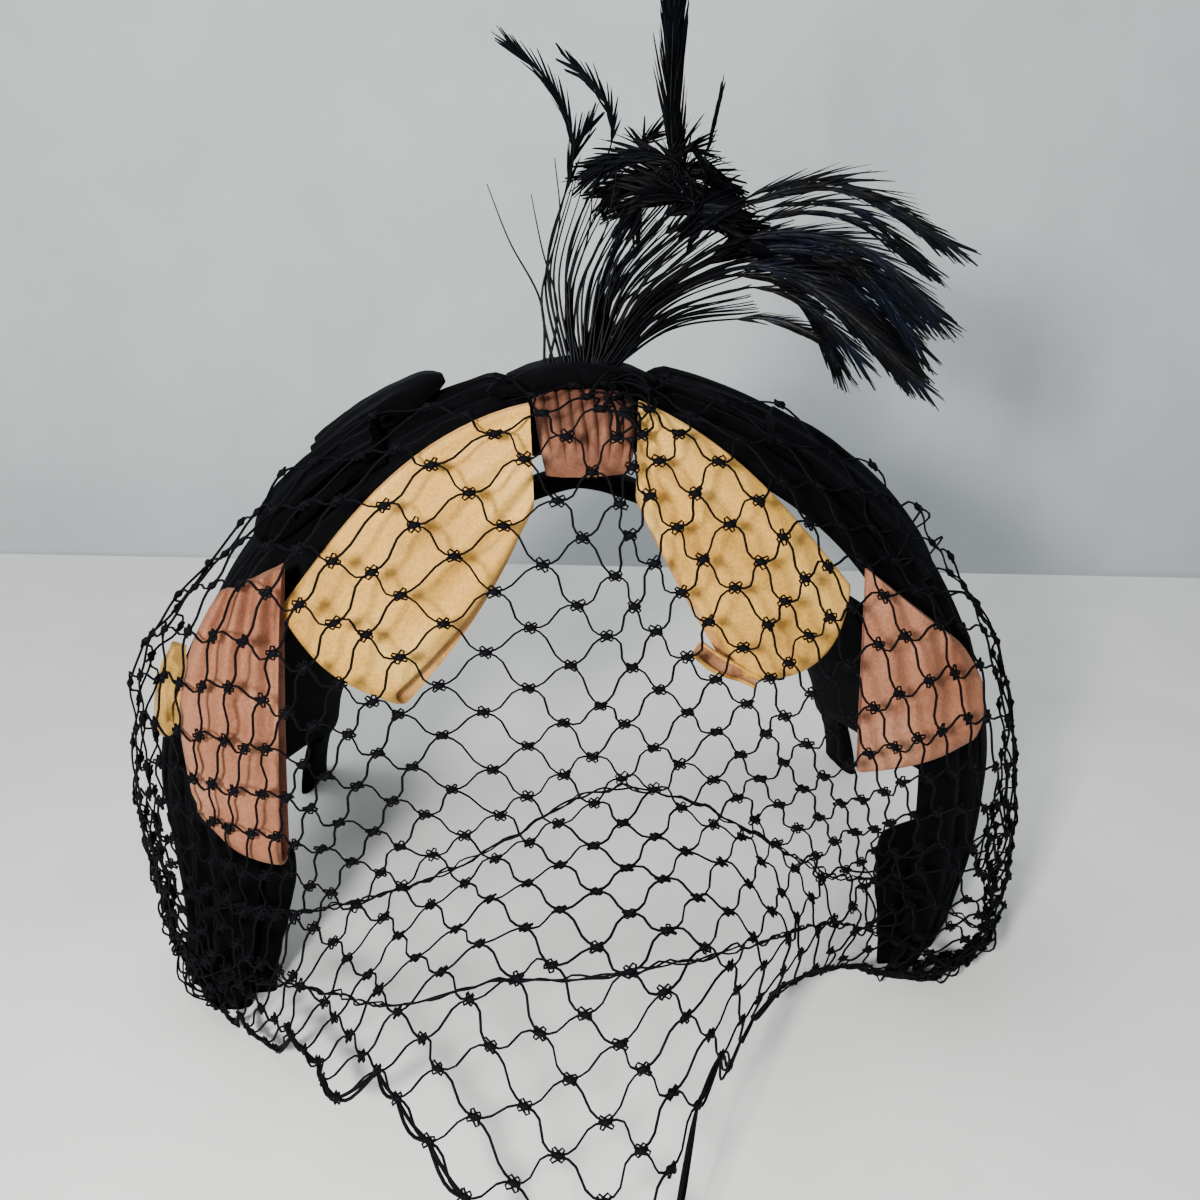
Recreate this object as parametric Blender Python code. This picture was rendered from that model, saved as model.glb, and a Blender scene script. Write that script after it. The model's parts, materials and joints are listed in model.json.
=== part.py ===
"""Half hat: two velvet arches, ribbon loops, black bows, a feather plume and a birdcage net veil.

Metres, +Z up, the front of the hat faces -Y. It stands on the four ends of its two arches.
Shapes are laid out from the middle of the front arch's front edge, at floor level, and hang on
one empty that moves the middle of the footprint to the origin.
"""

import math

import bmesh
import bpy
from mathutils import Vector
from mathutils.bvhtree import BVHTree

MM = 0.001
GAP = 0.3 * MM

# Where the middle of the whole footprint lies, from the middle of the front edge
FOOTPRINT_MIDDLE = Vector((-0.5, 14.5, 0.0)) * MM

# Front arch: a broad band of gathered velvet whose face swells outward behind its front edge
BAND_HALF_WIDTH = 103 * MM
BAND_HEIGHT = 149 * MM
BAND_SPRING = 45 * MM
BAND_POWER = 1.8
BAND_TUCK_LEFT = -1 * MM
BAND_TUCK_RIGHT = 9 * MM
BAND_DEPTH = 40 * MM
BAND_WALL = 3 * MM
BAND_FACE_TURN = math.radians(115)
BAND_FACE_POWER = 0.75
BAND_PINCH = 3.0 * MM
BAND_PINCH_HALF = 12 * MM
BAND_FOLDS = 5
BAND_FOLD_HEIGHT = 2 * MM
BAND_STATIONS = 36
BAND_POINTS_PER_FOLD = 3
SWELL_FOOT = 20 * MM
SWELL_LEG = 25 * MM
SWELL_APEX = 8 * MM

# Back arch: a thin velvet strip that widens into side panels, which meet the front arch
BACK_HALF_WIDTH = 85 * MM
BACK_MIDDLE = 3 * MM
BACK_HEIGHT = 100 * MM
BACK_POWER = 1.6
BACK_REAR = 118 * MM
BACK_STRIP = 10 * MM
BACK_FOOT_DEPTH = 17 * MM
BACK_THICK = 5 * MM
BACK_END_THICK = 2.5 * MM
BACK_END_HEIGHT = 17 * MM
BACK_SLANT = 0.6
BACK_STATIONS = 40
PANEL_LOW = 34 * MM
PANEL_HIGH = 60 * MM
PANEL_FADE_LOW = 14 * MM
PANEL_FADE_HIGH = 38 * MM

# Ribbons
RIBBON = 1.2 * MM
KNOT_HALF = 10.5 * MM
KNOT_MIDDLE = 0.496
KNOT_WALL = 1.4 * MM
KNOT_CLEAR = 0.7 * MM

# Net veil: strands cut through into diamonds, sewn to the band and closed by a hem
NET_STRAND = 1.3 * MM
NET_COLUMNS = 14
NET_ROWS = 5
VEIL_SEAM_LOW = 0.05

# Colours of the photo, as linear red, green and blue
BLACK = (0.004, 0.004, 0.006)
GOLD = (0.72, 0.48, 0.19)
PINK = (0.50, 0.25, 0.17)
INK_BLUE = (0.004, 0.005, 0.010)


def mix(a, b, share):
    """The value or point at a share of the way from a to b."""
    return a + (b - a) * share


def ease(share):
    """A share from 0 to 1, with a smooth start and end."""
    share = min(max(share, 0.0), 1.0)
    return share * share * (3 - 2 * share)


def material(name, colour, roughness, sheen=0.0):
    """A Principled material."""
    made = bpy.data.materials.new(name)
    made.use_nodes = True
    shader = made.node_tree.nodes["Principled BSDF"]
    shader.inputs["Base Color"].default_value = (*colour, 1.0)
    shader.inputs["Roughness"].default_value = roughness
    shader.inputs["Metallic"].default_value = 0.0
    shader.inputs["Sheen Weight"].default_value = sheen
    made.diffuse_color = (*colour, 1.0)
    return made


def add_object(name, points, faces, finish, hat):
    """A named closed solid, hung on the hat's empty, with its faces turned outward."""
    mesh = bpy.data.meshes.new(name)
    mesh.from_pydata([tuple(p) for p in points], [], faces)
    shaped = bmesh.new()
    shaped.from_mesh(mesh)
    bmesh.ops.recalc_face_normals(shaped, faces=shaped.faces)
    shaped.to_mesh(mesh)
    shaped.free()
    mesh.set_sharp_from_angle(angle=math.radians(50))
    mesh.materials.append(finish)
    made = bpy.data.objects.new(name, mesh)
    bpy.context.scene.collection.objects.link(made)
    made.parent = hat
    return made


def open_wall(outer, inner):
    """A wall between two grids of points of the same size, closed round all four edges."""
    rows, width = len(outer), len(outer[0])
    points = [p for row in outer for p in row] + [p for row in inner for p in row]
    back = rows * width
    faces = []
    for j in range(rows - 1):
        for i in range(width - 1):
            a = j * width + i
            faces.append((a, a + 1, a + width + 1, a + width))
            faces.append((back + a, back + a + width, back + a + width + 1, back + a + 1))
        for i in (0, width - 1):
            a = j * width + i
            faces.append((a, a + width, back + a + width, back + a))
    for j in (0, rows - 1):
        for i in range(width - 1):
            a = j * width + i
            faces.append((a, back + a, back + a + 1, a + 1))
    return points, faces


def ring_wall(outer, inner):
    """A tube wall between two grids of points whose rows are closed loops, with open ends."""
    rows, width = len(outer), len(outer[0])
    points = [p for row in outer for p in row] + [p for row in inner for p in row]
    back = rows * width
    faces = []
    for j in range(rows - 1):
        for i in range(width):
            a, b = j * width + i, j * width + (i + 1) % width
            faces.append((a, b, b + width, a + width))
            faces.append((back + a, back + a + width, back + b + width, back + b))
    for j in (0, rows - 1):
        for i in range(width):
            a, b = j * width + i, j * width + (i + 1) % width
            faces.append((a, back + a, back + b, b))
    return points, faces


def solid_sweep(rings):
    """A solid through rings of the same number of points, closed by a face at each end."""
    width = len(rings[0])
    points = [p for ring in rings for p in ring]
    faces = [tuple(range(width)), tuple(range((len(rings) - 1) * width, len(rings) * width))]
    for j in range(len(rings) - 1):
        for i in range(width):
            a, b = j * width + i, j * width + (i + 1) % width
            faces.append((a, b, b + width, a + width))
    return points, faces


def arch_side(height_share, power):
    """How wide a superellipse is, as a share, at a share of its height."""
    return max(0.0, 1 - height_share**power) ** (1 / power)


def outline_side(foot_tuck, count=400):
    """Points (x, z, outward x, outward z, height share) up the right half of the band's outline."""
    rise = BAND_HEIGHT - BAND_SPRING
    side = []
    for k in range(count + 1):
        z = BAND_SPRING * k / count
        tuck = foot_tuck * (1 - z / BAND_SPRING) ** 2
        side.append((BAND_HALF_WIDTH - tuck, z, 1.0, 0.0, z / BAND_HEIGHT))
    for k in range(1, count + 1):
        turn = math.pi / 2 * k / count
        x = BAND_HALF_WIDTH * math.cos(turn) ** (2 / BAND_POWER) if k < count else 0.0
        z = rise * math.sin(turn) ** (2 / BAND_POWER)
        out_x = (x / BAND_HALF_WIDTH) ** (BAND_POWER - 1) / BAND_HALF_WIDTH
        out_z = (z / rise) ** (BAND_POWER - 1) / rise
        long = math.hypot(out_x, out_z)
        side.append((x, BAND_SPRING + z, out_x / long, out_z / long, (BAND_SPRING + z) / BAND_HEIGHT))
    return side


def band_outline():
    """The band's whole outer outline, from the left foot over the top to the right foot."""
    left = [(-x, z, -ox, oz, h) for x, z, ox, oz, h in outline_side(BAND_TUCK_LEFT)]
    return left + outline_side(BAND_TUCK_RIGHT)[-2::-1]


OUTLINE = band_outline()


def outline_lengths():
    """The length along the outline up to each of its points."""
    total, lengths = 0.0, [0.0]
    for a, b in zip(OUTLINE, OUTLINE[1:]):
        total += math.hypot(b[0] - a[0], b[1] - a[1])
        lengths.append(total)
    return lengths


LENGTHS = outline_lengths()


def outline_at(along):
    """The outline's row of values at a share of its length, 0 at the left foot and 1 at the right."""
    wanted = min(max(along, 0.0), 1.0) * LENGTHS[-1]
    low, high = 0, len(LENGTHS) - 1
    while high - low > 1:
        middle = (low + high) // 2
        if LENGTHS[middle] <= wanted:
            low = middle
        else:
            high = middle
    share = (wanted - LENGTHS[low]) / (LENGTHS[high] - LENGTHS[low])
    return [mix(a, b, share) for a, b in zip(OUTLINE[low], OUTLINE[high])]


def swell_at(height):
    """How far the band's face swells outward, by height share."""
    foot = BAND_SPRING / BAND_HEIGHT
    if height < foot:
        return mix(SWELL_FOOT, SWELL_LEG, ease(height / foot))
    return mix(SWELL_LEG, SWELL_APEX, ease((height - foot) / (1 - foot)))


SLOPE_STEP = 0.04


def face_rise(swell, across):
    """How far the band's face has risen outward, at a share of its depth."""
    turned = math.sin(BAND_FACE_TURN * abs(across))
    return math.copysign(swell * turned**BAND_FACE_POWER, across)


def pinch_at(along):
    """How far the band is drawn in under the centre knot."""
    off = abs(along - KNOT_MIDDLE) * LENGTHS[-1]
    return BAND_PINCH * (1 - ease((off - BAND_PINCH_HALF) / (BAND_PINCH_HALF * 0.7)))


def band_point(along, across, lift=0.0):
    """A point over the band: along it foot to foot, across it front to back, and above its face."""
    x, z, out_x, out_z, height = outline_at(along)
    swell = swell_at(height)
    deep = BAND_DEPTH * across
    raised = face_rise(swell, across)
    slope_y = 2 * SLOPE_STEP * BAND_DEPTH
    slope_r = face_rise(swell, across + SLOPE_STEP) - face_rise(swell, across - SLOPE_STEP)
    long = math.hypot(slope_y, slope_r)
    lift -= pinch_at(along)
    deep -= lift * slope_r / long
    raised += lift * slope_y / long
    inward = swell - raised
    return Vector((x - out_x * inward, deep, z - out_z * inward))


def fold_lift(along, across):
    """Height of the gathers, which run along the band and wander a little."""
    wander = 0.05 * math.sin(9.0 * along + 2.0 * across) * math.sin(math.pi * across)
    wave = abs(math.sin(math.pi * BAND_FOLDS * (across + wander)))
    ease_in = 0.65 + 0.35 * math.sin(23.0 * along + 7.0 * across)
    return BAND_FOLD_HEIGHT * wave * ease_in * (1 - pinch_at(along) / BAND_PINCH)


def band_stations():
    """Shares along the band: even ones, and one just past each edge of the knot."""
    even = [k / BAND_STATIONS for k in range(BAND_STATIONS + 1)]
    past = (KNOT_HALF + 1.2 * MM) / LENGTHS[-1]
    close = [KNOT_MIDDLE - past, KNOT_MIDDLE, KNOT_MIDDLE + past]
    kept = [a for a in even if min(abs(a - b) for b in close) > 0.012]
    return sorted(kept + close)


def front_band(finish, hat):
    """The broad arch: a hollow wall of velvet with folds along it and flat feet."""
    steps = BAND_FOLDS * BAND_POINTS_PER_FOLD
    outer, inner = [], []
    for along in band_stations():
        shares = [i / steps for i in range(steps + 1)]
        outer.append([band_point(along, u, fold_lift(along, u)) for u in shares])
        inner.append([band_point(along, u, -BAND_WALL) for u in shares])
    for row in (outer[0], inner[0], outer[-1], inner[-1]):
        for point in row:
            point.z = 0.0
    return add_object("front_band", *open_wall(outer, inner), finish, hat)


def band_rear(height):
    """The middle of the band's rear edge at a height, on the right side."""
    low, high = 0.5, 1.0
    for _ in range(30):
        middle = (low + high) / 2
        if band_point(middle, 1.0, -BAND_WALL / 2).z > height:
            low = middle
        else:
            high = middle
    return band_point(high, 1.0, -BAND_WALL / 2)


def panel_reach(height):
    """How far the back arch reaches forward to the front arch, 0 to 1, by height."""
    if height < PANEL_LOW:
        return ease((height - PANEL_LOW + PANEL_FADE_LOW) / PANEL_FADE_LOW)
    if height > PANEL_HIGH:
        return 1 - ease((height - PANEL_HIGH) / PANEL_FADE_HIGH)
    return 1.0


def back_section(turn):
    """Front and rear points of the back strip's middle, and its thickness, at an angle of the arch."""
    share = math.sin(turn) ** (2 / BACK_POWER)
    height = BACK_HEIGHT * share
    side = math.copysign(1.0, math.cos(turn))
    half = BACK_HALF_WIDTH * arch_side(share, BACK_POWER)
    rear = Vector((BACK_MIDDLE + side * half, BACK_REAR, height))
    depth = mix(BACK_FOOT_DEPTH, BACK_STRIP, ease(height / BACK_HEIGHT))
    plain = rear + Vector((side * BACK_SLANT * (depth - BACK_STRIP), -depth, 0))
    joined = band_rear(height)
    joined = Vector((side * joined.x, joined.y + GAP * 1.6, height))
    front = mix(plain, joined, panel_reach(height))
    step = ease((height - BACK_END_HEIGHT) / (1.5 * MM))
    thick = mix(BACK_END_THICK, BACK_THICK, step)
    return front, rear, mix(thick, BAND_WALL * 0.8, panel_reach(height) * 0.6)


def back_angles():
    """Angles along the back arch, with two close together at each sleeve end."""
    end = math.asin(((BACK_END_HEIGHT + 0.75 * MM) / BACK_HEIGHT) ** (BACK_POWER / 2))
    even = [math.pi * k / BACK_STATIONS for k in range(BACK_STATIONS + 1)]
    close = [end - 0.006, end + 0.006, math.pi - end - 0.006, math.pi - end + 0.006]
    kept = [a for a in even if min(abs(a - b) for b in close) > 0.02]
    return sorted(kept + close, reverse=True)


def back_band(finish, hat):
    """The thin arch with its side panels."""
    sections = [back_section(min(max(turn, 0.0), math.pi)) for turn in back_angles()]
    columns = 5
    outer, inner = [], []
    for k, (front, rear, thick) in enumerate(sections):
        before, after = sections[max(k - 1, 0)], sections[min(k + 1, len(sections) - 1)]
        up = (after[0] + after[1] - before[0] - before[1]).normalized()
        out = up.cross(front - rear).normalized()
        if k in (0, len(sections) - 1):
            out = Vector((out.x, out.y, 0)).normalized()
        if out.dot(Vector((front.x, 0, front.z))) < 0:
            out = -out
        line = [mix(front, rear, i / (columns - 1)) for i in range(columns)]
        bulge = [math.sin(math.pi * i / (columns - 1)) * 0.8 * MM for i in range(columns)]
        outer.append([p + out * (thick / 2 + b) for p, b in zip(line, bulge)])
        inner.append([p - out * (thick / 2 + b) for p, b in zip(line, bulge)])
    for row in (outer[0], inner[0], outer[-1], inner[-1]):
        for point in row:
            point.z = 0.0
    return add_object("back_band", *open_wall(outer, inner), finish, hat)


def knot_loop(along, wall):
    """A closed loop of points round the band's section, a wall's thickness out."""
    over = KNOT_CLEAR + wall
    under = -BAND_WALL - KNOT_CLEAR - wall
    edge = (KNOT_CLEAR + 0.4 * MM + wall) / BAND_DEPTH
    top = [band_point(along, i / 6, over) for i in range(7)]
    bottom = [band_point(along, 1 - i / 4, under) for i in range(5)]
    rear = [band_point(along, 1 + edge, over * 0.7), band_point(along, 1 + edge, under * 0.8)]
    front = [band_point(along, -edge, under * 0.8), band_point(along, -edge, over * 0.7)]
    return top + rear + bottom + front


def centre_knot(finish, hat):
    """The ribbon wrapped round the middle of the front band, with small gathers across it."""
    half = KNOT_HALF / LENGTHS[-1]
    rows = 8
    outer, inner = [], []
    for j in range(rows + 1):
        along = KNOT_MIDDLE + half * (2 * j / rows - 1)
        pleat = 0.5 * MM * math.cos(math.pi * j)
        puff = 0.9 * MM * math.sin(math.pi * j / rows)
        outer.append(knot_loop(along, KNOT_WALL + pleat + puff))
        inner.append(knot_loop(along, 0.0))
    return add_object("centre_knot", *ring_wall(outer, inner), finish, hat)


def offset_loop(loop, distance):
    """A closed flat loop of (a, b) points moved outward by a distance, its turn being clockwise."""
    moved = []
    count = len(loop)
    for i in range(count):
        (xa, ya), (x, y), (xb, yb) = loop[i - 1], loop[i], loop[(i + 1) % count]
        first = Vector((ya - y, x - xa)).normalized()
        second = Vector((y - yb, xb - x)).normalized()
        both = (first + second).normalized()
        reach = distance / max(both.dot(first), 0.6)
        moved.append((x + both.x * reach, y + both.y * reach))
    return moved


def ribbon_profile(length, near, far, crown):
    """The middle line of a ribbon loop seen along its width: out, round the turn and back."""
    radius = far / 2
    straight = max(length - radius, length * 0.5)
    loop = []
    for k in range(6):
        share = k / 5
        gap = mix(near, far, ease(share))
        loop.append((straight * share, gap / 2 + crown * math.sin(math.pi * share) * 0.6))
    for k in range(1, 5):
        turn = math.pi / 2 - math.pi * k / 5
        loop.append((straight + radius * math.cos(turn), radius * math.sin(turn)))
    for k in range(5, -1, -1):
        share = k / 5
        gap = mix(near, far, ease(share))
        loop.append((straight * share, -gap / 2))
    return loop


def ribbon_loop(name, corners, sizes, finish, hat, rows=5):
    """A hollow loop of ribbon between four corner points: near and far, upper and lower."""
    near_up, near_low, far_up, far_low, back = corners
    near, far, crown, bow = sizes
    outer, inner = [], []
    for j in range(rows + 1):
        share = j / rows
        start, end = mix(near_up, near_low, share), mix(far_up, far_low, share)
        bulge = math.sin(math.pi * share)
        direction = (end - start).normalized()
        away = (back - direction * back.dot(direction)).normalized()
        length = (end - start).length + bow * bulge
        base = start - away * crown * bulge
        flat = ribbon_profile(length, near, far * (0.75 + 0.25 * bulge), crown)
        for grid, distance in ((outer, RIBBON / 2), (inner, -RIBBON / 2)):
            moved = offset_loop(flat, distance)
            grid.append([base + direction * a - away * b for a, b in moved])
    return add_object(name, *ring_wall(outer, inner), finish, hat)


def at(x, y, z):
    """A layout point, given in millimetres."""
    return Vector((x, y, z)) * MM


# Ribbon loops: near upper, near lower, far upper and far lower corners in millimetres, then the
# gap at the near end, the gap at the turn, the crown and how far the turn bows out
LOOPS = {
    "gold_loop_left": ((-13.5, -4, 147), (-13.5, -5, 127), (-65, -4, 107), (-42, -7, 85), 2.6, 6, 1.5, 2),
    "gold_loop_right": ((10.5, -3, 147), (10.5, -4, 127), (54, -3, 106), (32, -5, 86), 2.6, 6, 1.5, 1.5),
    "pink_loop_left": ((-79, -6, 103), (-65, -7, 110), (-88, -6, 60), (-70, -8, 47), 2.6, 6, 1.5, 1),
    "pink_loop_right": ((57.5, -6, 112), (83, -3, 90), (59.5, -6, 64), (87, -3, 70), 2.6, 6, 1.5, 1),
}
LOOP_COLOURS = {"gold": "gold_velvet", "pink": "pink_velvet"}


def ribbon_loops(finishes, hat):
    """The coloured ribbon loops on the front of the hat."""
    for name, (near_up, near_low, far_up, far_low, *sizes) in LOOPS.items():
        corners = [at(*p) for p in (near_up, near_low, far_up, far_low)] + [Vector((0, 1, 0))]
        finish = finishes[LOOP_COLOURS[name.split("_")[0]]]
        ribbon_loop(name, corners, [size * MM for size in sizes], finish, hat)


# Loops that lie on the band. Near end, then far end: along the band, across it from front to rear,
# and the lift of the lower layer above its face. Last the gap between the layers. Lengths in mm
BAND_LOOPS = {
    "gold_loop_outer_left": ("gold_velvet", (0.208, 0.38, 0.70, 2.6), (0.162, 0.38, 0.70, 2.6), 1.8),
    "black_bow_right": ("black_velvet", (0.600, 0.16, 0.50, 2.5), (0.725, 0.12, 0.50, 2.5), 1.6),
    "black_bow_left_lower": ("black_velvet", (0.385, 0.20, 0.47, 2.6), (0.304, 0.20, 0.47, 3.4), 4.2),
    "black_bow_left_upper": ("black_velvet", (0.352, 0.56, 0.88, 2.9), (0.420, 0.56, 0.88, 2.0), 4.0),
}
LOOP_STEPS = 8
LOOP_PUFF = 1.2 * MM


def band_loop_ring(near, far, share, gap, grow):
    """One closed row of points of a loop on the band: over its top layer and back under."""
    over, under = [], []
    for k in range(LOOP_STEPS + 1):
        reach = mix(-grow / (45 * MM), 1 + grow / (45 * MM), k / LOOP_STEPS)
        along = mix(near[0], far[0], reach)
        across = mix(mix(near[1], near[2], share), mix(far[1], far[2], share), reach)
        lift = mix(near[3], far[3], reach) * MM
        round_end = min(1.0, (LOOP_STEPS - k) / 1.5) ** 0.5 if k > LOOP_STEPS - 2 else 1.0
        half = (gap * MM / 2) * max(round_end, 0.35) + grow
        middle = lift + gap * MM / 2 + LOOP_PUFF * math.sin(math.pi * k / LOOP_STEPS)
        over.append(band_point(along, across, middle + half))
        under.append(band_point(along, across, middle - half))
    return over + under[::-1]


def band_loops(finishes, hat):
    """Flat loops that follow the curve of the band, among them the black bows."""
    rows = 4
    for name, (finish, near, far, gap) in BAND_LOOPS.items():
        grids = [
            [band_loop_ring(near, far, j / rows, gap, grow) for j in range(rows + 1)]
            for grow in (RIBBON / 2, -RIBBON / 2)
        ]
        add_object(name, *ring_wall(*grids), finishes[finish], hat)


# The turned-up ends: side, height, how far from the middle they reach at the foot and at the top,
# in millimetres
END_TABS = {
    "end_tab_left": (-1, 46, 77, 69),
    "end_tab_right": (1, 40, 72.5, 69.5),
}
TAB_CLEAR = 0.9 * MM
TAB_DEPTHS = (6, 10, 15)
TAB_ROWS = 5
TAB_SLOPE = 0.82


def end_tabs(finish, hat):
    """The turned-up velvet ends inside the two feet of the front arch, their tops sloping inward."""
    for name, (side, tall, low, high) in END_TABS.items():
        rings = []
        for k in range(TAB_ROWS + 1):
            share = k / TAB_ROWS
            height = tall * MM * share
            reach = mix(low, high, ease(share)) * MM
            far = [band_inner_x(side, height, deep * MM) - TAB_CLEAR for deep in TAB_DEPTHS]
            near = [reach + 0.4 * (deep - TAB_DEPTHS[0]) * MM for deep in TAB_DEPTHS]
            across = list(zip(far + near[::-1], TAB_DEPTHS + TAB_DEPTHS[::-1]))
            fall = (1 - TAB_SLOPE) / (max(far) - reach)
            rings.append([
                Vector((side * x, deep * MM, height * (1 - fall * (max(far) - x)))) for x, deep in across
            ])
        add_object(name, *solid_sweep(rings), finish, hat)


def band_inner_x(side, height, deep):
    """How far out the band's inner face is at a height and a depth, on one side."""
    run = height / LENGTHS[-1]
    along = 1 - run if side > 0 else run
    low, high = 0.0, 0.9
    for _ in range(20):
        across = (low + high) / 2
        if band_point(along, across, -BAND_WALL).y < deep:
            low = across
        else:
            high = across
    return abs(band_point(along, high, -BAND_WALL).x)


# Feathers: tip x, y and z, the side and rise of the middle of the curve, where the blade begins
# as a share of the length, and the blade's full width, all lengths in millimetres
FEATHERS = [
    (-21, 26, 188, -12, 168, 0.98, 1.2),
    (-11, 34, 186, -8, 168, 0.98, 1.2),
    (-16, 30, 215, -1, 195, 0.66, 5.0),
    (-4, 36, 214, 2, 190, 0.72, 5.0),
    (2, 24, 200, 0, 180, 0.70, 4.0),
    (30, 38, 207, 14, 178, 0.74, 4.0),
    (22, 30, 240, 15, 185, 0.50, 9.0),
    (0, 32, 194, 14, 186, 0.60, 8.0),
    (31, 27, 189, 12, 186, 0.55, 10.0),
    (78, 28, 175, 32, 205, 0.46, 10.0),
    (77, 34, 168, 34, 194, 0.44, 12.0),
    (79, 30, 159, 34, 184, 0.42, 12.0),
    (75, 26, 147, 38, 182, 0.44, 12.0),
    (64, 33, 150, 34, 172, 0.46, 11.0),
    (47, 29, 155, 24, 168, 0.52, 8.0),
    (43, 24, 160, 16, 158, 0.62, 4.5),
]
STEM_HALF = 0.65 * MM
PLUME_ROOT = Vector((-3.0, 15.5, 150.6)) * MM
PLUME_SPREAD = Vector((7.0, 3.5, 0.0)) * MM
BLADE_THICK = 1.1 * MM
BLADE_TEETH = 4
# The bound quills: height over the root in millimetres and share of the full girth
QUILL_ROWS = [(-2.0, 0.45), (-1.2, 0.85), (0.5, 1.0), (2.5, 0.9), (4.5, 0.65), (6.5, 0.3)]
QUILL_SIDES = 10
QUILL_WIDE = 10.5 * MM
QUILL_DEEP = 4.5 * MM


def feather(root, row):
    """One feather as a solid: a stem that opens into a flat blade with a notched edge."""
    tip_x, tip_y, tip_z, bend_x, bend_z, blade_from, width = row
    tip = at(tip_x, tip_y, tip_z)
    bend = at(bend_x, mix(30, tip_y, 0.6), bend_z)
    steps = 14
    rings = []
    for k in range(steps + 1):
        t = k / steps
        point = root * (1 - t) ** 2 + bend * (2 * t * (1 - t)) + tip * t * t
        ahead = ((bend - root) * (1 - t) + (tip - bend) * t).normalized()
        flat = ahead.cross(Vector((0, 1, 0))).normalized()
        deep = flat.cross(ahead).normalized()
        half = STEM_HALF
        if t > blade_from and width > 1.5:
            blade = (t - blade_from) / (1 - blade_from)
            notch = 0.78 + 0.22 * math.cos(math.pi * 2 * k * BLADE_TEETH / steps)
            half = max(STEM_HALF * 0.5, width * MM / 2 * math.sin(math.pi * blade**0.75) ** 0.7 * notch)
        if k == steps:
            half = STEM_HALF * 0.4
        thick = min(max(BLADE_THICK / 2, 0.0), max(half, STEM_HALF * 0.4))
        rings.append([point - flat * half, point - deep * thick, point + flat * half, point + deep * thick])
    return rings


def plume(finish, hat):
    """The feathers, fused to the quill bundle that sits on top of the band."""
    rings = []
    for rise, girth in QUILL_ROWS:
        ring = []
        for i in range(QUILL_SIDES):
            angle = 2 * math.pi * i / QUILL_SIDES
            round_it = Vector((math.cos(angle) * QUILL_WIDE, math.sin(angle) * QUILL_DEEP, 0)) * girth
            ring.append(PLUME_ROOT + round_it + Vector((rise * 0.2, 0, rise)) * MM)
        rings.append(ring)
    whole = add_object("plume", *solid_sweep(rings), finish, hat)
    for index, row in enumerate(FEATHERS):
        spread = index / (len(FEATHERS) - 1) * 2 - 1
        weave = (index * 7) % 5 / 2 - 1
        root = PLUME_ROOT + Vector((PLUME_SPREAD.x * spread, PLUME_SPREAD.y * weave * 0.8, 0))
        piece = add_object("feather_cutter", *solid_sweep(feather(root, row)), finish, hat)
        union(whole, piece)
    return whole


def union(whole, piece):
    """Fuses one solid into another and removes it."""
    joined = whole.modifiers.new("fuse", "BOOLEAN")
    joined.operation = "UNION"
    joined.solver = "EXACT"
    joined.object = piece
    bpy.context.view_layer.update()
    shaped = whole.evaluated_get(bpy.context.evaluated_depsgraph_get())
    fused = bpy.data.meshes.new_from_object(shaped)
    whole.modifiers.clear()
    whole.data = fused
    bpy.data.objects.remove(piece)


# The net from the left foot to the right, in millimetres but for the shares: the share along it,
# the seam's share across the band and its height over the face, then the net's place at the
# shoulder, fall, crease, brow, skirt and hem
NET_SHAPE = [
    (0.00, 0.60, 3, (-104, 17, 17), (-103, 13, 14), (-102, 12, 11), (-100, 11, 7), (-98, 10, 5), (-95.8, 9, 3)),
    (0.10, 0.60, 4, (-106, 13, 52), (-99, -3, 50), (-94, -7, 30), (-91, -8, 17), (-90, -6, 9), (-91, 0, 3)),
    (0.20, 0.56, 6, (-99, 8, 93), (-91, -8, 76), (-82, -11, 38), (-81, -13, 20), (-82, -12, 10), (-84, -8, 3)),
    (0.30, 0.46, 9, (-71, -14, 113), (-67, -20, 84), (-63, -14, 38), (-64, -24, 25), (-67, -27, 14), (-70, -24, 7)),
    (0.40, 0.30, 10, (-39, -15, 133), (-40, -20, 93), (-36, -15, 46), (-41, -45, 37), (-46, -51, 26), (-50, -53, 18)),
    (0.45, 0.24, 8, (-19, -13, 141), (-20, -18, 98), (-18, -15, 56), (-22, -58, 52), (-29, -64, 35), (-33, -76, 17)),
    (0.50, 0.20, 8, (1, -10, 145), (1, -17, 103), (-1, -15, 66), (-4, -64, 57), (-9, -71, 37), (-13, -89, 12)),
    (0.55, 0.24, 8, (15, -13, 142), (16, -18, 98), (15, -15, 65), (13, -62, 58), (8, -71, 42), (5, -87, 14)),
    (0.60, 0.30, 9, (29, -15, 135), (30, -20, 93), (31, -14, 56), (30, -45, 48), (23, -54, 39), (20, -60, 24)),
    (0.70, 0.42, 8, (52, -17, 112), (53, -20, 79), (53, -11, 40), (50, -19, 32), (45, -22, 20), (40, -18, 12)),
    (0.80, 0.50, 7, (84, -8, 96), (76, -18, 66), (70, -9, 35), (68, -9, 21), (63, -7, 12), (60, -2, 6)),
    (0.90, 0.58, 4.5, (104, 10, 54), (100, -1, 32), (96, -4, 16), (88, -6, 8), (81, -6, 5), (76, -3, 3)),
    (1.00, 0.60, 3, (103, 17, 16), (102, 12, 10), (99, 8, 6.5), (96, 5, 5), (91, 4, 4), (86, 4, 3)),
]
VEIL_COVERS = ["front_band", "centre_knot", *LOOPS, *BAND_LOOPS]
HEAD_MIDDLE = at(0, 50, 60)
NET_CLEAR = 1.7 * MM
NET_PROBE = 40 * MM
NET_ROUNDS = 14
NET_SAMPLES = [k / 8 for k in range(9)]


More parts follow.
